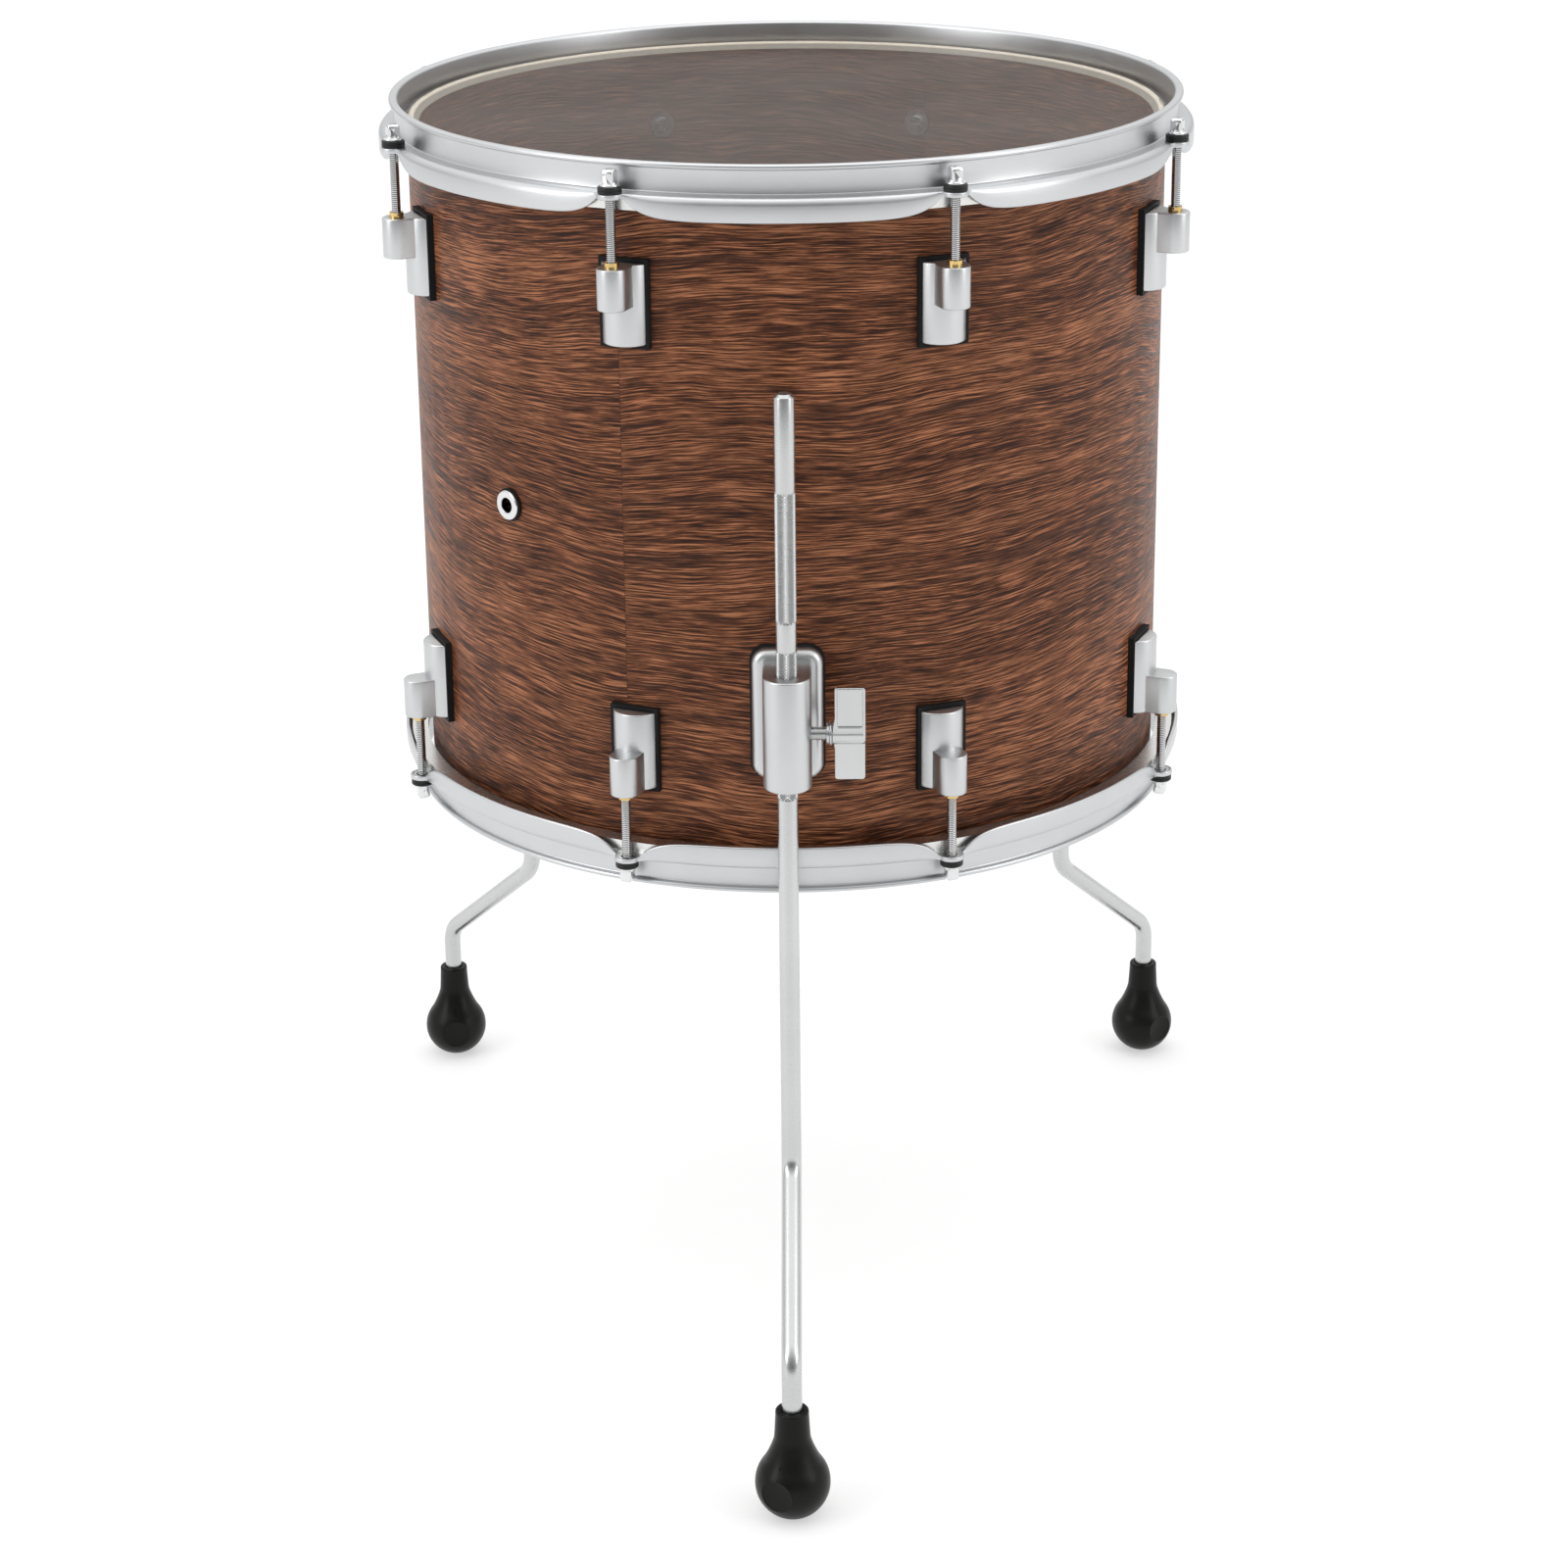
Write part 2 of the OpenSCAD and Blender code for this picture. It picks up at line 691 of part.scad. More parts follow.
bracket_screws();
bracket_screw_washers();
clamp_shoe(leg_azimuths[0]);  // front_clamp_shoe
clamp_shoe(leg_azimuths[1]);  // right_clamp_shoe
clamp_shoe(leg_azimuths[2]);  // left_clamp_shoe
wing_screw(leg_azimuths[0]);  // front_wing_screw
wing_screw(leg_azimuths[1]);  // right_wing_screw
wing_screw(leg_azimuths[2]);  // left_wing_screw
wing_washers(leg_azimuths[0]);  // front_wing_washers
wing_washers(leg_azimuths[1]);  // right_wing_washers
wing_washers(leg_azimuths[2]);  // left_wing_washers
leg_plug(leg_azimuths[0]);  // front_leg_plug
leg_plug(leg_azimuths[1]);  // right_leg_plug
leg_plug(leg_azimuths[2]);  // left_leg_plug
leg(leg_azimuths[0]);  // front_leg
leg(leg_azimuths[1]);  // right_leg
leg(leg_azimuths[2]);  // left_leg
foot(leg_azimuths[0]);  // front_foot
foot(leg_azimuths[1]);  // right_foot
foot(leg_azimuths[2]);  // left_foot
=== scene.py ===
"""A floor tom on three bent legs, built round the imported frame.

Every shape is drawn in millimetres and scaled to metres when its mesh is placed. Azimuth 0 is the
front of the drum and grows towards +X. A piece that stands off the shell is drawn with +Y pointing
inward to the shell's axis and +X along the tangent.
"""
import logging
import math
from dataclasses import dataclass, field
from enum import Enum
from typing import Callable, Iterable, Sequence

import bmesh
import bpy
from mathutils import Matrix, Vector
from mathutils.kdtree import KDTree


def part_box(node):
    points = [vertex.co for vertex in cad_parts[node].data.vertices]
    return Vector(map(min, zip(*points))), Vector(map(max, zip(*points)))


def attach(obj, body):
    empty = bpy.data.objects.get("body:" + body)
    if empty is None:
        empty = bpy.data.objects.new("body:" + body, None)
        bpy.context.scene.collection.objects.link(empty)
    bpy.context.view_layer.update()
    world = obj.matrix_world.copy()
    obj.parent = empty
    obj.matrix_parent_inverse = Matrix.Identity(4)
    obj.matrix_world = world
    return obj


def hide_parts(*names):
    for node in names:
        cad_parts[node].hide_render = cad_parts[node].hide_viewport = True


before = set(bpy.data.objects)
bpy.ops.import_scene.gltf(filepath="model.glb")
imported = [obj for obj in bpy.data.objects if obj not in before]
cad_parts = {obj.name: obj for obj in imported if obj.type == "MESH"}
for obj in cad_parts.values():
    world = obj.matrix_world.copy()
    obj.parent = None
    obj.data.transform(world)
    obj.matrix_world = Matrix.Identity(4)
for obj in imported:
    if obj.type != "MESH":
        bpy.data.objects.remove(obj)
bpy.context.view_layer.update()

log = logging.getLogger("floor_tom")
MM = 0.001
Rgb = tuple[float, float, float]
Point = tuple[float, float]
Corner = tuple[float, float, float]
Shape = bmesh.types.BMesh
Ring = list[bmesh.types.BMVert]
UP = (0.0, 0.0, 1.0)
ZERO = (0.0, 0.0, 0.0)
WELD = 0.0005


class Slot(str, Enum):
    """The record's material slots, one named on each finish."""

    WALNUT = "walnut_shell"
    FILM = "clear_film"
    FLESH_HOOP = "flesh_hoop"
    HOOP = "satin_hoop"
    NYLON = "black_nylon"
    CASTING = "satin_casting"
    GASKET = "black_gasket"
    BRASS = "brass_nut"
    STEEL = "plain_steel"
    VENT = "vent_chrome"
    ROD = "rod_chrome"
    WING = "wing_casting"
    LEG = "leg_chrome"
    PLUG = "leg_plug"
    FOOT = "foot_rubber"


class End(str, Enum):
    """The two ends of the shell."""

    BATTER = "batter"
    RESONANT = "resonant"


class Side(str, Enum):
    """The three legs."""

    FRONT = "front"
    RIGHT = "right"
    LEFT = "left"


class Join(str, Enum):
    """What happens to one solid at another."""

    ADD = "UNION"
    CUT = "DIFFERENCE"


# ---------------------------------------------------------------- shader building


class Wire:
    """A node's output socket that sums and products can be written with."""

    def __init__(self, tree: "Tree", socket: bpy.types.NodeSocket) -> None:
        """Keeps the tree, which makes the nodes, and the socket."""
        self.tree = tree
        self.socket = socket

    def __add__(self, other: "Wire | float") -> "Wire":
        """Sum."""
        return self.tree.math("ADD", self, other)

    def __mul__(self, other: "Wire | float") -> "Wire":
        """Product."""
        return self.tree.math("MULTIPLY", self, other)

    def __sub__(self, other: "Wire | float") -> "Wire":
        """Difference."""
        return self.tree.math("SUBTRACT", self, other)

    def __rsub__(self, other: float) -> "Wire":
        """Difference from a number."""
        return self.tree.math("SUBTRACT", other, self)

    __radd__ = __add__
    __rmul__ = __mul__


class Tree:
    """The nodes of one material."""

    def __init__(self, name: str) -> None:
        """Starts an empty material.

        Args:
            name: The material's name.
        """
        self.material = bpy.data.materials.new(name)
        self.material.use_nodes = True
        self.nodes = self.material.node_tree.nodes
        self.links = self.material.node_tree.links
        self.nodes.clear()

    def add(
        self,
        kind: str,
        settings: dict[str, object] | None = None,
        inputs: dict[str | int, object] | None = None,
        output: str | int = 0,
    ) -> Wire:
        """Adds one node.

        Args:
            kind: The node's type without the ShaderNode prefix.
            settings: Properties that are set first. "stops" are a colour ramp's stops.
            inputs: Values or wires of its sockets, by name or place.
            output: The output to return.

        Returns:
            The asked output.
        """
        node = self.nodes.new("ShaderNode" + kind)
        for key, value in (settings or {}).items():
            if key == "stops":
                elements = node.color_ramp.elements
                while len(elements) < len(value):
                    elements.new(0.5)
                for element, (place, color) in zip(elements, value):
                    element.position = place
                    element.color = (*color, 1.0)
            else:
                setattr(node, key, value)
        for key, value in (inputs or {}).items():
            if isinstance(value, Wire):
                self.links.new(value.socket, node.inputs[key])
            else:
                node.inputs[key].default_value = value
        return Wire(self, node.outputs[output] if node.outputs else None)

    def math(self, operation: str, *values: Wire | float) -> Wire:
        """Adds a Math node on wires or numbers."""
        return self.add("Math", {"operation": operation}, dict(enumerate(values)))

    def length(self, across: Wire, up: Wire) -> Wire:
        """The length of a flat vector."""
        return self.math("SQRT", across * across + up * up)

    def place(self) -> tuple[Wire, Wire, Wire]:
        """The Object coordinates, as x, y and z in metres."""
        spot = self.add("TexCoord", output="Object")
        node = self.nodes.new("ShaderNodeSeparateXYZ")
        self.links.new(spot.socket, node.inputs[0])
        return tuple(Wire(self, out) for out in node.outputs)

    def vector(self, x: Wire | float, y: Wire | float, z: Wire | float) -> Wire:
        """Joins three numbers to a vector."""
        return self.add("CombineXYZ", inputs={0: x, 1: y, 2: z})

    def noise(self, vector: Wire, scale: float, detail: float = 2.0, roughness: float = 0.5) -> Wire:
        """Adds a Noise Texture.

        Args:
            vector: Where it is read.
            scale: Cells to a unit of the vector.
            detail: Number of octaves.
            roughness: How much the finer octaves count.

        Returns:
            The noise, about 0.5 in the middle.
        """
        inputs = {"Vector": vector, "Scale": scale, "Detail": detail, "Roughness": roughness}
        return self.add("TexNoise", {"noise_dimensions": "3D"}, inputs, "Fac")

    def spread(self, value: Wire, low: float, high: float, to_low: float, to_high: float) -> Wire:
        """Maps a range of values to another, smoothly and held at its ends."""
        inputs = {0: value, 1: low, 2: high, 3: to_low, 4: to_high}
        return self.add("MapRange", {"interpolation_type": "SMOOTHSTEP"}, inputs)

    def mix(self, factor: Wire | float, first: Wire | Rgb, second: Wire | Rgb, how: str = "MIX") -> Wire:
        """Mixes two colours.

        Args:
            factor: The share of the second.
            first: A colour or a wire.
            second: A colour or a wire.
            how: The blend type.

        Returns:
            The mixed colour.
        """
        colors = [c if isinstance(c, Wire) else (*c, 1.0) for c in (first, second)]
        settings = {"data_type": "RGBA", "blend_type": how}
        return self.add("Mix", settings, {0: factor, 6: colors[0], 7: colors[1]}, 2)

    def bump(self, height: Wire, strength: float, distance: float) -> Wire:
        """Adds a Bump node on a height."""
        inputs = {"Height": height, "Strength": strength, "Distance": distance}
        return self.add("Bump", inputs=inputs)

    def close(self, **sockets: object) -> bpy.types.Material:
        """Adds the Principled BSDF and the output.

        Args:
            sockets: Values or wires by socket name, with _ for a space.

        Returns:
            The finished material.
        """
        inputs = {key.replace("_", " "): value for key, value in sockets.items()}
        color = inputs.get("Base Color")
        if color is not None and not isinstance(color, Wire):
            inputs["Base Color"] = (*color, 1.0)
        shader = self.add("BsdfPrincipled", inputs=inputs)
        self.add("OutputMaterial", inputs={"Surface": shader})
        return self.material


# ---------------------------------------------------------------- finishes


@dataclass(frozen=True)
class Finish:
    """What a piece's surface is made of."""

    name: str
    slot: Slot

    def material(self) -> bpy.types.Material:
        """The finish's material, made once."""
        return bpy.data.materials.get(self.name) or self.build()

    def build(self) -> bpy.types.Material:
        """Builds the nodes."""
        raise NotImplementedError


@dataclass(frozen=True)
class Metal(Finish):
    """A metal with a fine grain, faint clouds and small differences of polish."""

    color: Rgb
    roughness: float
    grain: float = 0.12
    grain_size: float = 0.00035
    clouds: float = 0.05
    lines: bool = False

    def build(self) -> bpy.types.Material:
        """Builds the metal, with turned lines round the drum's axis where lines is set."""
        tree = Tree(self.name)
        x, y, z = tree.place()
        spot = tree.vector(x, y, z)
        cloud = tree.noise(spot, 18.0, 3.0)
        speck = tree.noise(spot, 1.0 / self.grain_size, 2.0, 0.6)
        if self.lines:
            radius = tree.length(x, y)
            turned = tree.vector(radius, z, 0.0)
            speck = speck * 0.4 + tree.noise(turned, 2600.0, 2.0, 0.6) * 0.6
        smear = tree.noise(spot, 95.0, 2.0)
        dark = tuple(c * (1.0 - 2.2 * self.clouds) for c in self.color)
        pale = tuple(min(1.0, c * (1.0 + 1.2 * self.clouds)) for c in self.color)
        color = self.add_painted_shade(tree, tree.mix(tree.spread(cloud, 0.3, 0.7, 0.0, 1.0), dark, pale), (x, y, z))
        low, high = self.roughness * 0.94, min(1.0, self.roughness * 1.07)
        rough = tree.spread(smear * 0.5 + speck * 0.5, 0.36, 0.64, low, high)
        normal = tree.bump(speck, self.grain, 0.00012)
        return tree.close(Base_Color=color, Metallic=1.0, Roughness=rough, Normal=normal)

    def add_painted_shade(self, tree: Tree, color: Wire, place: tuple[Wire, Wire, Wire]) -> Wire:
        """The metal's colour where it has no hollows; the threaded, knurled and bored finishes paint shade
        into their hollows here.
        """
        return color


@dataclass(frozen=True)
class ThreadedChrome(Metal):
    """Bright chrome with painted shade between the threads of the tension rods."""

    axis: float = 0.2173
    spacing: float = math.tau / 8
    root: float = 0.00214
    crest: float = 0.00246
    middle: float = 0.4855
    reach: float = 0.1765

    def add_painted_shade(self, tree: Tree, color: Wire, place: tuple[Wire, Wire, Wire]) -> Wire:
        """Paints shade into the thread roots, by the distance from the nearest rod's axis."""
        x, y, z = place
        angle = tree.math("PINGPONG", tree.math("ARCTAN2", x, y), self.spacing / 2)
        off = self.spacing / 2 - angle
        radius = tree.length(x, y)
        aside = radius * tree.math("SINE", off)
        ahead = radius * tree.math("COSINE", off) - self.axis
        thread_root_shade = tree.spread(tree.length(aside, ahead), self.root, self.crest, 0.7, 0.0)
        between = tree.math("LESS_THAN", tree.math("ABSOLUTE", z - self.middle), self.reach)
        # the near-black colour is painted shade in the thread roots, along the threaded length only
        return tree.mix(thread_root_shade * between, color, (0.05, 0.05, 0.052))


@dataclass(frozen=True)
class KnurledSteel(Metal):
    """Satin steel with painted shade in the valleys of the legs' knurled bands."""

    axis: float = 0.2335
    azimuths: tuple[float, ...] = (0.0, 135.0, -135.0)
    valley: float = 0.00488
    peak: float = 0.00518
    lowest: float = 0.34
    highest: float = 0.5195

    def add_painted_shade(self, tree: Tree, color: Wire, place: tuple[Wire, Wire, Wire]) -> Wire:
        """Paints shade into the knurl's valleys, by the distance from the nearest leg's axis."""
        x, y, z = place
        nearest: Wire | float = 1.0
        for azimuth in self.azimuths:
            aside = x - self.axis * math.sin(math.radians(azimuth))
            ahead = y + self.axis * math.cos(math.radians(azimuth))
            nearest = tree.math("MINIMUM", tree.length(aside, ahead), nearest)
        # sunk is the share of painted shade: darkest at the knurl valleys, none at the peaks
        sunk = tree.spread(nearest, self.valley, self.peak, 0.55, 0.0)
        band = tree.math("GREATER_THAN", z, self.lowest) * tree.math("LESS_THAN", z, self.highest)
        # the grey mixed in is painted shade in the knurl valleys, inside the banded heights only
        return tree.mix(sunk * band, color, (0.30, 0.30, 0.305))


@dataclass(frozen=True)
class BoredChrome(Metal):
    """Bright chrome with painted shade inside the vent's bore."""

    azimuth: float = -44.6
    height: float = 0.4855
    bore: float = 0.0038
    lip: float = 0.0044

    def add_painted_shade(self, tree: Tree, color: Wire, place: tuple[Wire, Wire, Wire]) -> Wire:
        """Paints shade inside the bore, by the distance from the vent's axis."""
        x, y, z = place
        turn = math.radians(self.azimuth)
        aside = x * math.cos(turn) + y * math.sin(turn)
        rise = z - self.height
        # inside is the share of painted shade: near-black deep in the bore, fading out at the lip
        inside = tree.spread(tree.length(aside, rise), self.bore, self.lip, 0.94, 0.0)
        return tree.mix(inside, color, (0.02, 0.015, 0.012))


@dataclass(frozen=True)
class Moulded(Finish):
    """Black nylon or rubber with a fine moulded texture and a dusty bloom."""

    color: Rgb
    roughness: float
    grain_size: float = 0.0006
    grain: float = 0.25
    bloom: float = 0.5
    sheen: float = 0.2

    def build(self) -> bpy.types.Material:
        """Builds the plastic."""
        tree = Tree(self.name)
        spot = tree.add("TexCoord", output="Object")
        cells = tree.add("TexVoronoi", None, {"Vector": spot, "Scale": 1.0 / self.grain_size}, "Distance")
        fine = tree.noise(spot, 2.4 / self.grain_size, 2.0)
        cloud = tree.noise(spot, 60.0, 4.0, 0.6)
        pale = tuple(c * (1.0 + self.bloom) + 0.002 * self.bloom for c in self.color)
        color = tree.mix(tree.spread(cloud, 0.35, 0.75, 0.0, 1.0), self.color, pale)
        low, high = self.roughness * 0.85, min(1.0, self.roughness * 1.2)
        rough = tree.spread(cloud * 0.6 + fine * 0.4, 0.35, 0.65, low, high)
        normal = tree.bump(cells * 0.6 + fine * 0.4, self.grain, 0.0002)
        return tree.close(Base_Color=color, Roughness=rough, Normal=normal, Specular_IOR_Level=self.sheen)


@dataclass(frozen=True)
class Walnut(Finish):
    """Oiled walnut veneer that runs round the shell in two sheets, on a maple core."""

    low_edge: float = 0.3075
    high_edge: float = 0.6635
    radius: float = 0.202
    seam_azimuth: float = -23.9
    outer_depth: float = 0.003
    edge_cut: float = 0.0036
    edge_back: float = 0.0044
    edge_peak: float = 0.0036
    veneer_thick: float = 0.0007
    ply: float = 0.0011
    sheet_shift: float = 2.7
    inner_shift: float = 5.3
    sway: float = 0.085
    ripple: float = 0.005
    tones: tuple[tuple[float, Rgb], ...] = (
        (0.0, (0.036, 0.0110, 0.0050)),
        (0.35, (0.094, 0.0310, 0.0130)),
        (0.65, (0.170, 0.0590, 0.0260)),
        (1.0, (0.290, 0.118, 0.056)),
    )
    pore_tone: Rgb = (0.014, 0.005, 0.003)
    vein_tone: Rgb = (0.026, 0.0095, 0.006)
    seam_tone: Rgb = (0.02, 0.008, 0.005)
    inner_tone: Rgb = (0.078, 0.037, 0.025)

    def build(self) -> bpy.types.Material:
        """Builds the veneer, its two seams and the bare plies of the bearing edges."""
        tree = Tree(self.name)
        x, y, z = tree.place()
        seam = math.radians(self.seam_azimuth)
        ahead = x * -math.sin(seam) + y * math.cos(seam)
        aside = x * math.cos(seam) + y * math.sin(seam)
        angle = tree.math("ARCTAN2", aside, ahead)
        radius = tree.length(x, y)
        sheet = tree.math("GREATER_THAN", angle, 0.0)
        inner = tree.math("LESS_THAN", radius, self.radius - self.outer_depth)
        along = angle * self.radius + sheet * self.sheet_shift + inner * self.inner_shift
        sway = tree.noise(tree.vector(along * 2.7, z * 3.4, sheet * 3.0), 1.0, 2.0)
        ripple = tree.noise(tree.vector(along * 19.0, z * 24.0, sheet), 1.0, 2.0)
        level = z + sway * self.sway + ripple * self.ripple
        bands = tree.noise(tree.vector(along * 1.5, level * 48.0, sheet * 5.0), 1.0, 3.0, 0.55)
        streak = tree.noise(tree.vector(along * 3.6, level * 210.0, sheet), 1.0, 4.0, 0.62)
        fibre = tree.noise(tree.vector(along * 42.0, level * 1350.0, sheet), 1.0, 3.0, 0.62)
        pores = tree.noise(tree.vector(along * 75.0, level * 2000.0, sheet), 1.0, 1.0)
        curl = tree.noise(tree.vector(along * 26.0 + level * 12.0, level * 15.0, sheet), 1.0, 2.0)
        open_pores = tree.spread(pores, 0.58, 0.65, 0.0, 1.0) * tree.spread(bands, 0.42, 0.6, 1.0, 0.45)
        color = self.veneer(tree, bands, streak, fibre, curl, open_pores)
        color = tree.mix(inner * 0.6, color, self.inner_tone)
        near = tree.math("MINIMUM", tree.math("ABSOLUTE", angle), math.pi - tree.math("ABSOLUTE", angle))
        line = tree.spread(near * self.radius, 0.00012, 0.0004, 0.45, 0.0)
        color = tree.mix(line, color, self.seam_tone)
        color = tree.mix(self.bare_edge(tree, radius, z), color, self.maple(tree, radius, angle, z))
        rough = tree.spread(fibre * 0.5 + streak * 0.5, 0.35, 0.65, 0.36, 0.5) + open_pores * 0.2
        normal = tree.bump(fibre * 0.35 - open_pores * 0.9, 0.22, 0.00015)
        return tree.close(
            Base_Color=color, Roughness=rough, Normal=normal,
            Specular_IOR_Level=0.12, Coat_Weight=0.06, Coat_Roughness=0.3,
        )

    def veneer(self, tree: Tree, bands: Wire, streak: Wire, fibre: Wire, curl: Wire, pores: Wire) -> Wire:
        """The walnut's colour.

        Args:
            tree: The material's nodes.
            bands: Broad bands of growth.
            streak: Long streaks.
            fibre: Short, fine lines.
            curl: Patches that catch the light.
            pores: Where a pore is open.

        Returns:
            The colour.
        """
        tone = tree.spread(bands * 0.16 + streak * 0.19 + fibre * 0.65, 0.39, 0.61, 0.0, 1.0)
        color = tree.add("ValToRGB", {"stops": self.tones}, {0: tone}, "Color")
        shade = tree.spread(fibre, 0.34, 0.66, 0.58, 1.38) * tree.spread(curl, 0.3, 0.7, 0.88, 1.12)
        color = tree.mix(1.0, color, tree.vector(shade, shade, shade), "MULTIPLY")
        color = tree.mix(pores * 0.75, color, self.pore_tone)
        vein = tree.spread(tree.math("ABSOLUTE", bands - 0.5), 0.003, 0.018, 0.72, 0.0)
        return tree.mix(vein * tree.spread(curl, 0.4, 0.55, 0.3, 1.0), color, self.vein_tone)

    def bare_edge(self, tree: Tree, radius: Wire, z: Wire) -> Wire:
        """1 on the two bearing edges, where the veneer ends, and 0 elsewhere."""
        middle = 0.5 * (self.low_edge + self.high_edge)
        reach = 0.5 * (self.high_edge - self.low_edge) - self.edge_cut - 0.00005
        end = tree.math("GREATER_THAN", tree.math("ABSOLUTE", z - middle), reach)
        return end * tree.math("LESS_THAN", radius, self.radius - self.veneer_thick)

    def maple(self, tree: Tree, radius: Wire, angle: Wire, z: Wire) -> Wire:
        """The colour of the maple plies, with painted shade on the slope behind the edge's peak."""
        plies = tree.spread(tree.math("PINGPONG", radius, self.ply), 0.00004, 0.0001, 1.0, 0.0)
        grain = tree.noise(tree.vector(angle * 60.0, radius * 900.0, z * 300.0), 1.0, 3.0)
        maple = tree.mix(grain, (0.64, 0.57, 0.45), (0.84, 0.78, 0.66))
        maple = tree.mix(plies * 0.35, maple, (0.33, 0.20, 0.11))
        # slope_shade is painted shade, darkening the maple from the edge's peak inward down the slope
        slope_shade = tree.spread(radius, self.radius - self.edge_back, self.radius - self.edge_peak, 0.36, 1.0)
        return tree.mix(1.0, maple, tree.vector(slope_shade, slope_shade, slope_shade), "MULTIPLY")


@dataclass(frozen=True)
class ClearFilm(Finish):
    """Clear drumhead film with a faint grey haze, a few scuffs, specks of dust and a painted sheen that
    thickens the film towards grazing angles.
    """

    haze: float = 0.06
    painted_rim_sheen: float = 0.35

    def build(self) -> bpy.types.Material:
        """Builds the film."""
        tree = Tree(self.name)
        spot = tree.add("TexCoord", output="Object")
        cloud = tree.noise(spot, 9.0, 3.0, 0.6)
        specks = tree.add("TexVoronoi", None, {"Vector": spot, "Scale": 210.0}, "Distance")
        rare = tree.noise(spot, 45.0, 1.0)
        dust = tree.spread(specks, 0.03, 0.07, 1.0, 0.0) * tree.spread(rare, 0.6, 0.66, 0.0, 1.0)
        facing = tree.add("LayerWeight", None, {"Blend": 0.2}, "Facing")
        veil = tree.spread(cloud, 0.3, 0.7, self.haze * 0.85, self.haze * 1.15)
        # the facing term is a painted sheen: the grey film grows more opaque towards grazing angles
        alpha = veil + facing * facing * self.painted_rim_sheen * 0.3 + dust * 0.35
        rough = tree.spread(cloud, 0.35, 0.65, 0.16, 0.24)
        normal = tree.bump(cloud, 0.05, 0.0006)
        return tree.close(
            Base_Color=(0.56, 0.53, 0.50), Alpha=alpha, Roughness=rough, Normal=normal, IOR=1.5,
        )


@dataclass(frozen=True)
class Paper(Finish):
    """The pale, even studio floor, lit a little from below."""

    lift: float = 0.5

    def build(self) -> bpy.types.Material:
        """Builds the floor's paint."""
        tree = Tree(self.name)
        spot = tree.add("TexCoord", output="Object")
        cloud = tree.noise(spot, 3.0, 3.0)
        color = tree.mix(cloud, (0.45, 0.45, 0.45), (0.47, 0.47, 0.47))
        return tree.close(
            Base_Color=color, Roughness=0.75,
            Emission_Color=(1.0, 1.0, 1.0, 1.0), Emission_Strength=self.lift,
        )


WALNUT = Walnut("walnut veneer", Slot.WALNUT)
FILM = ClearFilm("clear head film", Slot.FILM)
HOOP_STEEL = Metal("satin hoop steel", Slot.HOOP, (0.58, 0.59, 0.60), 0.35, 0.01, 0.0006, 0.012)
FLESH_ALLOY = Metal(
    "flesh hoop alloy", Slot.FLESH_HOOP, (0.74, 0.74, 0.72), 0.26, 0.08, 0.0004, 0.03, True,
)
CASTING = Metal("satin casting", Slot.CASTING, (0.59, 0.60, 0.605), 0.36, 0.03, 0.0004, 0.012)
WING_CASTING = Metal("wing casting", Slot.WING, (0.57, 0.58, 0.58), 0.25, 0.06, 0.0004, 0.02)
ROD_CHROME = ThreadedChrome("rod chrome", Slot.ROD, (0.72, 0.725, 0.73), 0.09, 0.02, 0.0006, 0.01)
LEG_CHROME = KnurledSteel("satin leg steel", Slot.LEG, (0.57, 0.58, 0.575), 0.27, 0.03, 0.0005, 0.015)
PLUG_STEEL = Metal("leg plug steel", Slot.PLUG, (0.42, 0.42, 0.43), 0.4, 0.1, 0.0004, 0.04)
PLAIN_STEEL = Metal("plain steel", Slot.STEEL, (0.56, 0.57, 0.58), 0.28, 0.08, 0.0005, 0.05)
VENT_CHROME = BoredChrome("vent chrome", Slot.VENT, (0.72, 0.725, 0.73), 0.14, 0.03, 0.0005, 0.02)
BRASS = Metal("swivel nut brass", Slot.BRASS, (0.70, 0.50, 0.20), 0.22, 0.06, 0.0005, 0.06)
NYLON = Moulded("black nylon", Slot.NYLON, (0.008, 0.008, 0.008), 0.36, 0.0005, 0.06, 0.4, 0.3)
GASKET = Moulded("gasket rubber", Slot.GASKET, (0.009, 0.009, 0.009), 0.6, 0.0006, 0.12, 0.4, 0.15)
RUBBER = Moulded("foot rubber", Slot.FOOT, (0.005, 0.0054, 0.0044), 0.33, 0.0009, 0.05, 0.3, 0.15)
PAPER = Paper("studio paper", Slot.FILM)


# ---------------------------------------------------------------- shaping


def rounded(corners: Sequence[Corner], steps: int = 4) -> list[Point]:
    """Rounds the corners of a closed outline.

    Args:
        corners: The corners as (across, up, radius).
        steps: Segments of each rounding.

    Returns:
        The outline's points, steps + 1 for each corner with a radius.
    """
    points: list[Point] = []
    for index, (u, v, radius) in enumerate(corners):
        here = Vector((u, v))
        if radius <= 0.0:
            points.append((u, v))
            continue
        back = (Vector(corners[index - 1][:2]) - here).normalized()
        ahead = (Vector(corners[(index + 1) % len(corners)][:2]) - here).normalized()
        half = 0.5 * math.acos(max(-1.0, min(1.0, back.dot(ahead))))
        start = here + back * (radius / math.tan(half))
        centre = here + (back + ahead).normalized() * (radius / math.sin(half))
        first = math.atan2(start.y - centre.y, start.x - centre.x)
        turn = math.pi - 2.0 * half
        if back.x * ahead.y - back.y * ahead.x > 0.0:
            turn = -turn
        for step in range(steps + 1):
            angle = first + turn * step / steps
            points.append((centre.x + radius * math.cos(angle), centre.y + radius * math.sin(angle)))
    return points


def arc(centre: Point, radius: float, start: float, end: float, steps: int) -> list[Point]:
    """The points of an arc, with its angles in degrees."""
    angles = (math.radians(start + (end - start) * step / steps) for step in range(steps + 1))
    return [(centre[0] + radius * math.cos(a), centre[1] + radius * math.sin(a)) for a in angles]


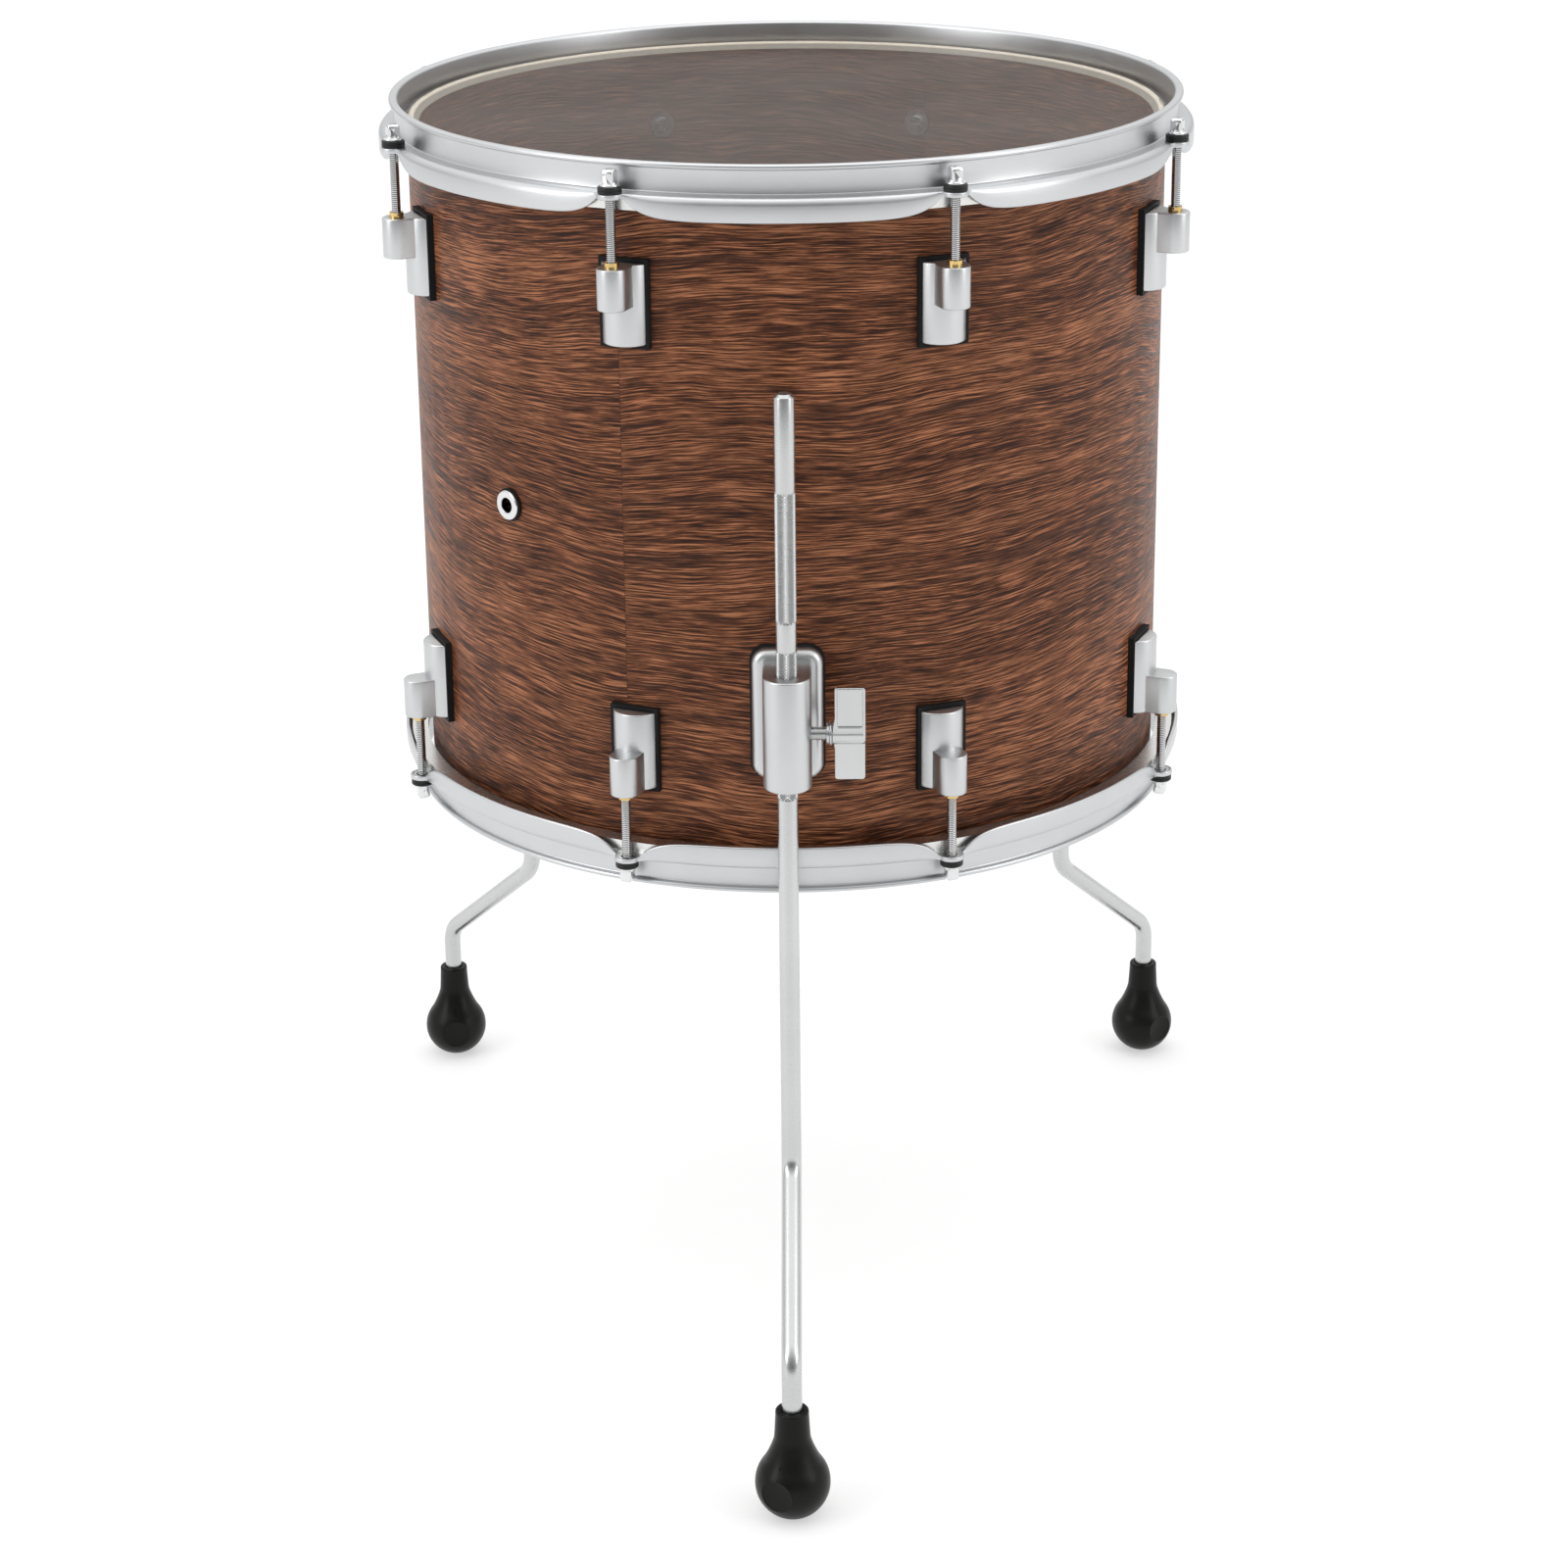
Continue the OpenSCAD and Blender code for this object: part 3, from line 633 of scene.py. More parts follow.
def outline_face(bm: Shape, places: Iterable[Sequence[float]]) -> bmesh.types.BMFace:
    """Draws one face through the given places."""
    return bm.faces.new([bm.verts.new(place) for place in places])


def across(section: Sequence[Point]) -> list[Sequence[float]]:
    """Stands a section of (radius, height) up on the X axis."""
    return [(radius, 0.0, height) for radius, height in section]


def quarter(axis: str, turns: int = 1) -> Matrix:
    """Quarter turns about an axis."""
    return Matrix.Rotation(turns * math.pi / 2, 4, axis)


def shifted(height: float, aside: float = 0.0) -> Matrix:
    """A move along Z, and along Y where aside is given."""
    return Matrix.Translation((0.0, aside, height))


def moved(bm: Shape, place: Matrix) -> Shape:
    """Moves a whole mesh."""
    bmesh.ops.transform(bm, matrix=place, verts=bm.verts[:])
    return bm


def eased(bm: Shape, picked: Callable[[bmesh.types.BMEdge], bool], radius: float, steps: int) -> Shape:
    """Rounds the edges that a test picks."""
    rims = [edge for edge in bm.edges if picked(edge)]
    bmesh.ops.bevel(bm, geom=rims, offset=radius, segments=steps, profile=0.5, affect="EDGES", material=-1)
    return bm


def swept(bm: Shape, geom: Sequence[object], angle: float, steps: int, **how: object) -> dict[str, object]:
    """Spins geometry round Z, or round the axis given, with the ends left open."""
    settings = {"axis": UP, "cent": ZERO, "use_merge": False, "use_duplicate": False, **how}
    return bmesh.ops.spin(bm, geom=geom, angle=angle, steps=steps, **settings)


def lathe(profile: Sequence[Point], steps: int, closed: bool = True) -> Shape:
    """Turns a profile of (radius, height) round Z.

    Args:
        profile: The profile's points.
        steps: Steps of the full turn.
        closed: Whether the last point joins the first. An open profile ends on the axis.

    Returns:
        The turned solid.
    """
    bm = bmesh.new()
    verts = [bm.verts.new(place) for place in across(profile)]
    pairs = list(zip(verts, verts[1:])) + ([(verts[-1], verts[0])] if closed else [])
    edges = [bm.edges.new(pair) for pair in pairs]
    swept(bm, verts + edges, math.tau, steps, use_merge=True)
    bmesh.ops.remove_doubles(bm, verts=bm.verts[:], dist=WELD)
    bmesh.ops.recalc_face_normals(bm, faces=bm.faces[:])
    return bm


def prism(outline: Sequence[Point], low: float, high: float, ease: float = 0.0, steps: int = 3) -> Shape:
    """Extrudes an outline of (x, y) upward and may ease its two rims.

    Args:
        outline: The outline's points.
        low: Height of the lower face.
        high: Height of the upper face.
        ease: Radius of the rims, or 0 for sharp rims.
        steps: Segments of the easing.

    Returns:
        The prism.
    """
    bm = bmesh.new()
    face = outline_face(bm, [(x, y, low) for x, y in outline])
    grown = bmesh.ops.extrude_face_region(bm, geom=[face])
    bmesh.ops.translate(bm, verts=ring_verts(grown["geom"]), vec=(0.0, 0.0, high - low))
    bmesh.ops.recalc_face_normals(bm, faces=bm.faces[:])
    if ease > 0.0:
        eased(bm, lambda e: abs(e.verts[0].co.z - e.verts[1].co.z) < 1e-6, ease, steps)
    return bm


def thread(root: float, crest: float, flat: float, pitch: float, run: float, steps: int) -> Shape:
    """Winds the ridge of a thread up round Z from height 0.

    Args:
        root: Radius where the ridge starts, a little inside the core.
        crest: Radius of its flat top.
        flat: Half the width of that top, as a share of half the pitch.
        pitch: Rise of one turn.
        run: Length of the threaded part.
        steps: Steps of one turn.

    Returns:
        The closed ridge.
    """
    half, foot = pitch / 2, 0.92
    section = ((root, -half * foot), (crest, -half * flat), (crest, half * flat), (root, half * foot))
    turns = run / pitch
    bm = bmesh.new()
    count = round(turns * steps)
    rise = (0.0, 0.0, pitch / steps)
    swept(bm, [outline_face(bm, across(section))], math.tau * count / steps, count, dvec=rise)
    bmesh.ops.recalc_face_normals(bm, faces=bm.faces[:])
    return bm


def ring_edges(bm: Shape, ring: Ring) -> list[bmesh.types.BMEdge]:
    """The edges between the vertices of a ring."""
    wanted = set(ring)
    return [edge for edge in bm.edges if all(vert in wanted for vert in edge.verts)]


def ring_verts(geom: Iterable[object]) -> Ring:
    """The vertices among an operator's results."""
    return [item for item in geom if isinstance(item, bmesh.types.BMVert)]


def extruded(bm: Shape, ring: Ring) -> Ring:
    """Extrudes a ring in place and returns the new one."""
    return ring_verts(bmesh.ops.extrude_edge_only(bm, edges=ring_edges(bm, ring))["geom"])


def pour(source: Shape, target: Shape, matrix: Matrix | None = None) -> None:
    """Adds a copy of one mesh to another, placed by a matrix."""
    mesh = bpy.data.meshes.new("copy")
    source.to_mesh(mesh)
    if matrix is not None:
        mesh.transform(matrix)
    target.from_mesh(mesh)
    bpy.data.meshes.remove(mesh)


def joined(parts: Sequence[Shape]) -> Shape:
    """Gathers meshes into the first one and frees the others."""
    for part in parts[1:]:
        pour(part, parts[0])
        part.free()
    return parts[0]


def solid(base: Shape, tool: Shape, how: Join) -> Shape:
    """Adds a solid to another or cuts it away.

    Args:
        base: The solid that is worked on. It is freed.
        tool: The other solid. It is freed.
        how: Add or cut.

    Returns:
        The new solid.
    """
    things = []
    for bm in (base, tool):
        mesh = bpy.data.meshes.new("solid")
        bm.to_mesh(mesh)
        bm.free()
        thing = bpy.data.objects.new("solid", mesh)
        bpy.context.scene.collection.objects.link(thing)
        things.append(thing)
    modifier = things[0].modifiers.new("join", "BOOLEAN")
    modifier.operation = how.value
    modifier.solver = "MANIFOLD"
    modifier.object = things[1]
    graph = bpy.context.evaluated_depsgraph_get()
    result = bmesh.new()
    result.from_object(things[0], graph)
    for thing in things:
        mesh = thing.data
        bpy.data.objects.remove(thing)
        bpy.data.meshes.remove(mesh)
    bmesh.ops.remove_doubles(result, verts=result.verts[:], dist=WELD)
    return result


def drill(radius: float, low: float, high: float, steps: int) -> Shape:
    """A plain cylinder round Z, to cut a bore with."""
    return lathe([(0.0, low), (radius, low), (radius, high), (0.0, high)], steps, False)


def turned(azimuth: float, distance: float, height: float = 0.0) -> Matrix:
    """Places a piece at an azimuth and a distance from the axis, with +Y pointing inward."""
    return Matrix.Rotation(math.radians(azimuth), 4, "Z") @ Matrix.Translation((0.0, -distance, height))


def lug_azimuths(count: int) -> list[float]:
    """Azimuths of the rods, ears and lugs, half a step from the front."""
    return [(index + 0.5) * 360.0 / count for index in range(count)]


def edge_height(end: End) -> float:
    """Height of a bearing edge in millimetres, from the frame."""
    low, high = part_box("shell")
    return (high.z if end is End.BATTER else low.z) / MM


def end_place(end: End) -> Matrix:
    """Takes a shape drawn for the batter edge at height 0 to one end of the shell."""
    return shifted(edge_height(end)) @ quarter("Y", 0 if end is End.BATTER else 2)


def leg_azimuth(side: Side) -> float:
    """Azimuth of a leg in degrees."""
    return {Side.FRONT: 0.0, Side.RIGHT: 135.0, Side.LEFT: -135.0}[side]


def around_drum(bm: Shape, places: Sequence[Matrix]) -> Shape:
    """Gathers a copy of a mesh at every place."""
    row = bmesh.new()
    for place in places:
        pour(bm, row, place)
    return row


def smoothstep(value: float) -> float:
    """An eased step from 0 to 1."""
    held = max(0.0, min(1.0, value))
    return held * held * (3.0 - 2.0 * held)


def make_piece(
    name: str,
    bm: Shape,
    finish: Finish,
    body: str,
    nodes: Sequence[str],
    place: Matrix | None = None,
    sharp: float = 32.0,
) -> bpy.types.Object:
    """Turns a mesh in millimetres into a piece that rides on a body.

    Args:
        name: The piece's name.
        bm: Its mesh. It stays usable.
        finish: Its finish.
        body: The body that it rides on.
        nodes: The frame's nodes that it stands for.
        place: Where the mesh goes, in millimetres.
        sharp: Angle past which an edge stays sharp, in degrees.

    Returns:
        The piece.
    """
    mesh = bpy.data.meshes.new(name)
    bm.to_mesh(mesh)
    mesh.transform(Matrix.Scale(MM, 4) @ (place or Matrix.Identity(4)))
    mesh.shade_smooth()
    mesh.set_sharp_from_angle(angle=math.radians(sharp))
    mesh.materials.append(finish.material())
    piece = bpy.data.objects.new(name, mesh)
    bpy.context.scene.collection.objects.link(piece)
    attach(piece, body)
    if nodes:
        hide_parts(*nodes)
    log.info("%s rides on %s: %d faces", name, body, len(mesh.polygons))
    return piece


def dress(node: str, finish: Finish) -> None:
    """Gives a node of the frame its finish."""
    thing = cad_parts[node]
    if not thing.data.materials:
        thing.data.materials.append(None)
    for place in thing.material_slots:
        place.link = "OBJECT"
        place.material = finish.material()
    log.info("%s keeps its shape and is dressed in %s", node, finish.name)


def dress_all(**finishes: Finish) -> None:
    """Gives each named node its finish."""
    for node, finish in finishes.items():
        dress(node, finish)


# ---------------------------------------------------------------- the drum


@dataclass
class Shell:
    """The wooden shell with its vent."""

    radius: float = 202.0
    vent_azimuth: float = -44.6
    vent_flange: float = 15.6
    vent_bore: float = 7.6
    vent_tube: float = 10.0
    vent_gasket: float = 1.1
    vent_flange_t: float = 1.5
    vent_depth: float = 9.5

    def build(self) -> None:
        """Dresses the shell and makes the vent's grommet."""
        dress_all(shell=WALNUT, vent_gasket=GASKET, vent_nut=PLAIN_STEEL)
        low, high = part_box("vent_grommet")
        middle = 500.0 * (low.z + high.z)
        face = self.vent_gasket + self.vent_flange_t
        profile = rounded((
            (self.vent_bore / 2, face, 0.55),
            (self.vent_flange / 2, face, 0.75),
            (self.vent_flange / 2, self.vent_gasket, 0.2),
            (self.vent_tube / 2, self.vent_gasket, 0.2),
            (self.vent_tube / 2, -self.vent_depth, 0.3),
            (self.vent_bore / 2, -self.vent_depth, 0.3),
        ), 5)
        place = turned(self.vent_azimuth, self.radius, middle) @ Matrix.Rotation(math.pi / 2, 4, "X")
        make_piece("vent.ring", lathe(profile, 64), VENT_CHROME, "drum", ["vent_grommet"], place)


@dataclass
class Heads:
    """The two clear heads and the channels that grip their films."""

    def build(self) -> None:
        """Dresses the films and the flesh hoops."""
        for end in End:
            dress(f"{end.value}_film", FILM)
            dress(f"{end.value}_flesh_hoop", FLESH_ALLOY)


@dataclass
class Hoops:
    """The pressed steel hoops: rolled rim, upright wall, and a skirt that sweeps up to each ear."""

    wall_in: float = 206.3
    wall_out: float = 208.3
    wall_hollow: float = 0.28
    rim_out: float = 210.9
    rim_high: float = 10.5
    rim_low: float = 7.7
    flange_high: float = -4.5
    flange_low: float = -6.5
    skirt_in: float = 214.9
    skirt_out: float = 216.9
    skirt_low: float = -16.8
    shoulder: float = 4.0
    ear_axis: float = 217.3
    ear_radius: float = 6.4
    ear_hole: float = 6.4
    ear_lip: float = 0.5
    sweep_start: float = 6.6
    sweep_fade: float = 8.0
    ears: int = 8
    steps: int = 720
    crowding: float = 0.74

    def section(self, reach: float, low: float, shoulder: float, inner: float, bend: float) -> list[Point]:
        """The hoop's section.

        Args:
            reach: Radius of the skirt's outer face.
            low: Height of the skirt's lower edge.
            shoulder: Radius of the bend from the flange to the skirt.
            inner: Radius of the skirt's inner face.
            bend: Radius of that bend inside.

        Returns:
            The section's points, which are as many for any values.
        """
        edge = 0.42 * (reach - inner)
        middle = 0.5 * (self.rim_low + self.flange_high)
        return rounded((
            (self.wall_in, self.flange_low, 0.9),
            (self.wall_in, self.rim_high, 1.5),
            (self.rim_out, self.rim_high, 1.3),
            (self.rim_out, self.rim_low, 1.3),
            (self.wall_out, self.rim_low, 0.7),
            (self.wall_out - self.wall_hollow, middle, 45.0),
            (self.wall_out, self.flange_high, 0.8),
            (reach, self.flange_high, shoulder),
            (reach, low, edge),
            (inner, low, edge),
            (inner, self.flange_low, bend),
        ), 4)

    def ear_reach(self, aside: float) -> float:
        """Radius of the ear's outline at a distance aside from the rod's axis."""
        inside = self.ear_radius**2 - aside**2
        bulge = math.sqrt(inside) if inside > 0.0 else 0.0
        flare = 1.5 * (1.0 - smoothstep((abs(aside) - 4.0) / 7.0))
        return max(self.skirt_out + flare, self.ear_axis + bulge)

    def shape(self) -> Shape:
        """Turns the skirt's section round and draws it up to each ear."""
        plain = self.section(self.skirt_out, self.skirt_low, self.shoulder, self.skirt_in, 2.2)
        bm = lathe(plain, self.steps)
        finder = KDTree(len(plain))
        for index, (u, v) in enumerate(plain):
            finder.insert((u, v, 0.0), index)
        finder.balance()
        sector = math.tau / self.ears
        columns: dict[int, Ring] = {}
        for vert in bm.verts:
            column = round(math.atan2(vert.co.x, -vert.co.y) / math.tau * self.steps) % self.steps
            columns.setdefault(column, []).append(vert)
        for column, verts in columns.items():
            azimuth = math.tau * column / self.steps
            number = math.floor(azimuth / sector)
            centre = (number + 0.5) * sector
            share = (azimuth - centre) / (0.5 * sector)
            drawn = centre + 0.5 * sector * share * (1.0 - self.crowding + self.crowding * share * share)
            aside = (drawn - centre) * self.ear_axis
            past = max(0.0, abs(aside) - self.sweep_start)
            lift = math.exp(-past * past / (self.sweep_fade * (past + 0.6)))
            reach = self.ear_reach(aside)
            ear = self.section(reach, self.flange_low - self.ear_lip, 0.5, reach - 1.4, 0.3)
            for vert in verts:
                index = finder.find((vert.co.xy.length, vert.co.z, 0.0))[1]
                radius = plain[index][0] + (ear[index][0] - plain[index][0]) * lift
                height = plain[index][1] + (ear[index][1] - plain[index][1]) * lift
                vert.co = (radius * math.sin(drawn), -radius * math.cos(drawn), height)
        hole = drill(self.ear_hole / 2, -9.0, -3.0, 32)
        holes = around_drum(hole, [turned(azimuth, self.ear_axis) for azimuth in lug_azimuths(self.ears)])
        hole.free()
        return solid(bm, holes, Join.CUT)

    def build(self) -> None:
        """Makes both hoops, the resonant one turned upside down."""
        bm = self.shape()
        for end in End:
            name = end.value
            make_piece(f"hoop.{name}", bm, HOOP_STEEL, "drum", [f"{name}_hoop"], end_place(end), 40.0)
        bm.free()


@dataclass
class TensionRods:
    """Sixteen threaded rods with square heads, and the nylon washers under them."""

    axis: float = 217.3
    count: int = 8
    seat: float = -0.95
    length: float = 54.0
    thread_root: float = 2.18
    thread_crest: float = 2.5
    pitch: float = 1.0
    thread_steps: int = 14
    flange: float = 4.9
    flange_t: float = 1.1
    cone_high: float = 2.7
    square: float = 6.3
    head_high: float = 8.2
    head_dome: float = 1.55
    washer: float = 6.0
    washer_t: float = 3.5
    washer_bore: float = 2.85
    washer_low: float = -4.5

    def head(self) -> Shape:
        """The flange, the cone and the square drive with its domed end."""
        skirt = rounded((
            (0.0, -1.0, 0.0),
            (2.0, -1.0, 0.0),
            (2.0, 0.0, 0.0),
            (self.flange, 0.0, 0.35),
            (self.flange, self.flange_t, 0.45),
            (self.flange - 0.9, self.flange_t + 0.15, 0.3),
            (3.5, self.cone_high - 0.3, 0.9),
            (3.05, self.cone_high + 0.9, 0.0),
            (0.0, self.cone_high + 0.9, 0.0),
        ), 3)
        turnings = lathe(skirt, 40, False)
        half = self.square / 2
        outline = rounded(((-half, -half, 1.1), (half, -half, 1.1), (half, half, 1.1), (-half, half, 1.1)), 3)
        drive = prism(outline, self.flange_t + 0.7, self.head_high)
        eased(drive, lambda e: min(v.co.z for v in e.verts) > self.head_high - 1e-4, self.head_dome, 5)
        return solid(turnings, drive, Join.ADD)

    def shank(self) -> Shape:
        """The threaded shank with its pointed end."""
        foot = -self.length
        core = rounded((
            (0.0, foot, 0.0),
            (1.5, foot, 0.0),
            (self.thread_root, foot + 1.0, 0.0),
            (self.thread_root, -0.5, 0.0),
            (0.0, -0.5, 0.0),
        ))
        stem = lathe(core, self.thread_steps * 2, False)
        root, run = self.thread_root - 0.12, self.length - 3.4
        ridge = thread(root, self.thread_crest, 0.2, self.pitch, run, self.thread_steps)
        return joined([stem, moved(ridge, shifted(foot + 1.6))])

    def washers(self) -> Shape:
        """Two stacked washers of one rod, with the groove between them."""
        half = self.washer_t / 2
        profile = rounded((
            (self.washer_bore, 0.0, 0.2),
            (self.washer, 0.0, 0.4),
            (self.washer, half - 0.16, 0.3),
            (self.washer - 0.55, half, 0.12),
            (self.washer, half + 0.16, 0.3),
            (self.washer, self.washer_t, 0.55),
            (self.washer_bore, self.washer_t, 0.2),
        ), 3)
        return lathe(profile, 40)

    def build(self) -> None:
        """Makes every rod on its own body, and each end's washers."""
        rod = joined([self.head(), self.shank()])
        washer = self.washers()
        spots = [turned(azimuth, self.axis) for azimuth in lug_azimuths(self.count)]
        for end in End:
            flip = 1.0 if end is End.BATTER else -1.0
            lift = shifted(edge_height(end) + flip * self.seat)
            turn = quarter("Y", 0 if end is End.BATTER else 2)
            for number, spot in enumerate(spots, 1):
                name = f"{end.value}_rod_{number}"
                make_piece(f"rod.{end.value}.{number}", rod, ROD_CHROME, name, [name], lift @ spot @ turn)
            stack = around_drum(washer, [spot @ shifted(self.washer_low) for spot in spots])
            make_piece(
                f"washers.{end.value}", stack, NYLON, "drum", [f"{end.value}_rod_washers"], end_place(end),
            )
            stack.free()
        rod.free()
        washer.free()


@dataclass
class Lugs:
    """Sixteen cast lugs, each a D-shaped body with a round housing for the rod's nut."""

    axis: float = 217.3
    count: int = 8
    drop: float = 41.0
    length: float = 41.0
    back: float = 12.3
    body_radius: float = 12.4
    body_centre: float = 16.8
    nose_radius: float = 7.7
    nose_length: float = 21.0
    ease: float = 0.8
    nut_bore: float = 3.7
    nut_depth: float = 18.2

    def casing(self) -> Shape:
        """One casing, from its end face at height 0 downward."""
        spread = math.degrees(math.acos((self.body_centre - self.back) / self.body_radius))
        belly = arc((0.0, self.body_centre), self.body_radius, 270.0 - spread, 270.0 + spread, 30)
        body = prism(belly, -self.length, 0.0, self.ease)
        snout = arc((0.0, 0.0), self.nose_radius, 180.0, 360.0, 28)
        snout += [(self.nose_radius, self.back - 1.0), (-self.nose_radius, self.back - 1.0)]
        nose = prism(snout, -self.nose_length, -0.02, self.ease * 0.9)
        casing = solid(body, nose, Join.ADD)
        return solid(casing, drill(self.nut_bore, -self.nut_depth, 1.0, 36), Join.CUT)

    def build(self) -> None:
        """Makes both rows of casings and dresses what holds them."""
        casing = self.casing()
        for end in End:
            row = around_drum(
                casing, [turned(azimuth, self.axis, -self.drop) for azimuth in lug_azimuths(self.count)],
            )
            make_piece(
                f"lugs.{end.value}", row, CASTING, "drum", [f"{end.value}_lug_casings"], end_place(end),
            )
            row.free()
        casing.free()
        dress_all(lug_gaskets=GASKET, swivel_nuts=BRASS)
        dress_all(lug_screws=PLAIN_STEEL, lug_screw_washers=PLAIN_STEEL)


# ---------------------------------------------------------------- the legs


@dataclass
class Brackets:
    """Three cast leg brackets: a domed base and a clamp that the leg runs through."""

    axis: float = 233.5
    wing_height: float = 393.0
    base_back: float = 29.3
    base_width: float = 36.0
    base_low: float = 359.0
    base_high: float = 428.5
    base_corner: float = 8.0
    base_thick: float = 6.5
    dome: float = 4.4
    clamp_radius: float = 12.15
    clamp_low: float = 364.8
    clamp_high: float = 423.5
    bore: float = 11.4
    screw_bore: float = 7.1
    ease: float = 1.0

    def base(self) -> Shape:
        """The base, drawn flat and stood up with its domed face outward."""
        half = self.base_width / 2
        outline = rounded((
            (-half, self.base_low, self.base_corner),
            (half, self.base_low, self.base_corner),
            (half, self.base_high, self.base_corner),
            (-half, self.base_high, self.base_corner),
        ), 8)
        bm = prism(outline, 0.0, self.base_thick)
        eased(bm, lambda e: min(v.co.z for v in e.verts) > self.base_thick - 1e-4, self.dome, 8)
        return moved(bm, shifted(0.0, self.base_back) @ quarter("X"))

    def shape(self) -> Shape:
        """The whole bracket with its bores."""
        width = self.clamp_radius
        snout = arc((0.0, 0.0), width, 180.0, 360.0, 48)
        snout += [(width, self.base_back - 2.0), (-width, self.base_back - 2.0)]
        clamp = prism(snout, self.clamp_low, self.clamp_high, self.ease, 4)
        bm = solid(self.base(), clamp, Join.ADD)
        bm = solid(bm, drill(self.bore / 2, 300.0, 500.0, 64), Join.CUT)
        cross = drill(self.screw_bore / 2, 0.0, 20.0, 48)
        return solid(bm, moved(cross, shifted(self.wing_height) @ quarter("Y")), Join.CUT)

    def build(self) -> None:
        """Makes the three brackets and dresses what holds them."""
        bm = self.shape()
        for side in Side:
            make_piece(
                f"bracket.{side.value}", bm, CASTING, "drum", [f"{side.value}_bracket"],
                turned(leg_azimuth(side), self.axis),
            )
        bm.free()
        dress_all(bracket_gaskets=GASKET, bracket_screws=PLAIN_STEEL, bracket_screw_washers=PLAIN_STEEL)


@dataclass
class Wings:
    """The three wing screws, their washers and the clamp shoes."""

    axis: float = 233.5
    height: float = 393.0
    screw_start: float = 8.45
    thread_root: float = 3.0
    thread_crest: float = 3.5
    pitch: float = 1.25
    hub_start: float = 22.1
    hub_length: float = 16.8
    hub_radius: float = 5.4
    plate_start: float = 23.5
    plate_end: float = 38.8
    plate_thick: float = 3.0
    plate_offset: float = 2.2
    span: float = 25.6
    border: float = 1.3
    sink: float = 1.6
    ease: float = 0.7
    spring_radius: float = 5.3
    spring_t: float = 1.5
    flat_radius: float = 5.9
    flat_t: float = 1.1
    washer_bore: float = 3.6
    split: float = 8.0

    def plate(self) -> Shape:
        """One plate with its sunk panel, drawn flat in x and z and facing outward."""
        start, end, high = self.plate_start, self.plate_end, self.span
        outline = rounded((
            (self.hub_start + 0.5, 0.5, 0.0),
            (end, 0.5, 0.0),
            (end, high, 1.6),
            (start, high, 1.6),
            (start, self.hub_radius + 4.2, 2.4),
            (self.hub_start + 0.5, self.hub_radius - 1.2, 0.0),
        ), 5)
        bm = moved(prism(outline, 0.0, self.plate_thick), shifted(0.0, -self.plate_offset) @ quarter("X"))
        eased(bm, lambda e: abs(e.verts[0].co.y - e.verts[1].co.y) < 1e-5, self.ease, 4)
        left, right = start + self.border, end - self.border
        low, top = self.hub_radius - 1.0, high - self.border
        hollow = rounded(((left, low, 0.5), (right, low, 0.5), (right, top, 0.9), (left, top, 0.9)), 3)
        face = self.plate_offset + self.plate_thick
        cutter = prism(hollow, face - self.sink, face + 1.0)
        eased(cutter, lambda e: max(v.co.z for v in e.verts) < face - self.sink + 1e-4, self.ease, 2)
        return solid(bm, moved(cutter, quarter("X")), Join.CUT)

    def shape(self) -> Shape:
        """The wing with its hub and threaded screw, along +X from the leg's axis."""
        hub = lathe(rounded((
            (0.0, self.hub_start, 0.0),
            (self.hub_radius, self.hub_start, 0.9),
            (self.hub_radius, self.hub_start + self.hub_length, 1.3),
            (0.0, self.hub_start + self.hub_length, 0.0),
        ), 4), 56, False)
        upper = self.plate()
        lower = around_drum(upper, [quarter("X", 2)])
        bm = solid(solid(moved(hub, quarter("Y")), upper, Join.ADD), lower, Join.ADD)
        start, end = self.screw_start, self.hub_start + 0.5
        stem = lathe([
            (0.0, start), (self.thread_root - 0.7, start), (self.thread_root, start + 0.7),
            (self.thread_root, end), (0.0, end),
        ], 36, False)
        ridge = thread(self.thread_root - 0.15, self.thread_crest, 0.15, self.pitch, end - start - 2.2, 28)
        screw = joined([stem, moved(ridge, shifted(start + 1.2))])
        return joined([bm, moved(screw, quarter("Y"))])

    def washers(self) -> Shape:
        """The flat washer and the split spring washer against the hub."""
        bore, gap = self.washer_bore, 0.02
        end = self.hub_start - gap
        flat = lathe(rounded((
            (bore, end - self.flat_t, 0.15), (self.flat_radius, end - self.flat_t, 0.3),
            (self.flat_radius, end, 0.3), (bore, end, 0.15),
        ), 3), 48)
        low = end - self.flat_t - self.spring_t
        top = low + self.spring_t - gap
        outer = self.spring_radius
        section = rounded(((bore, low, 0.2), (outer, low, 0.4), (outer, top, 0.4), (bore, top, 0.2)), 2)
        spring = bmesh.new()
        swept(spring, [outline_face(spring, across(section))], math.radians(360.0 - self.split), 44)
        bmesh.ops.recalc_face_normals(spring, faces=spring.faces[:])
        return moved(joined([flat, spring]), quarter("Y"))

    def build(self) -> None:
        """Makes each wing screw and its washers, and dresses the clamp shoe."""
        wing, washers = self.shape(), self.washers()
        for side in Side:
            name = side.value
            place = turned(leg_azimuth(side), self.axis, self.height)
            make_piece(f"wing.{name}", wing, WING_CASTING, f"{name}_wing", [f"{name}_wing_screw"], place)
            make_piece(
                f"wing.rings.{name}", washers, PLAIN_STEEL, f"{name}_wing", [f"{name}_wing_washers"], place,
            )
            dress(f"{name}_clamp_shoe", PLAIN_STEEL)
        wing.free()
        washers.free()


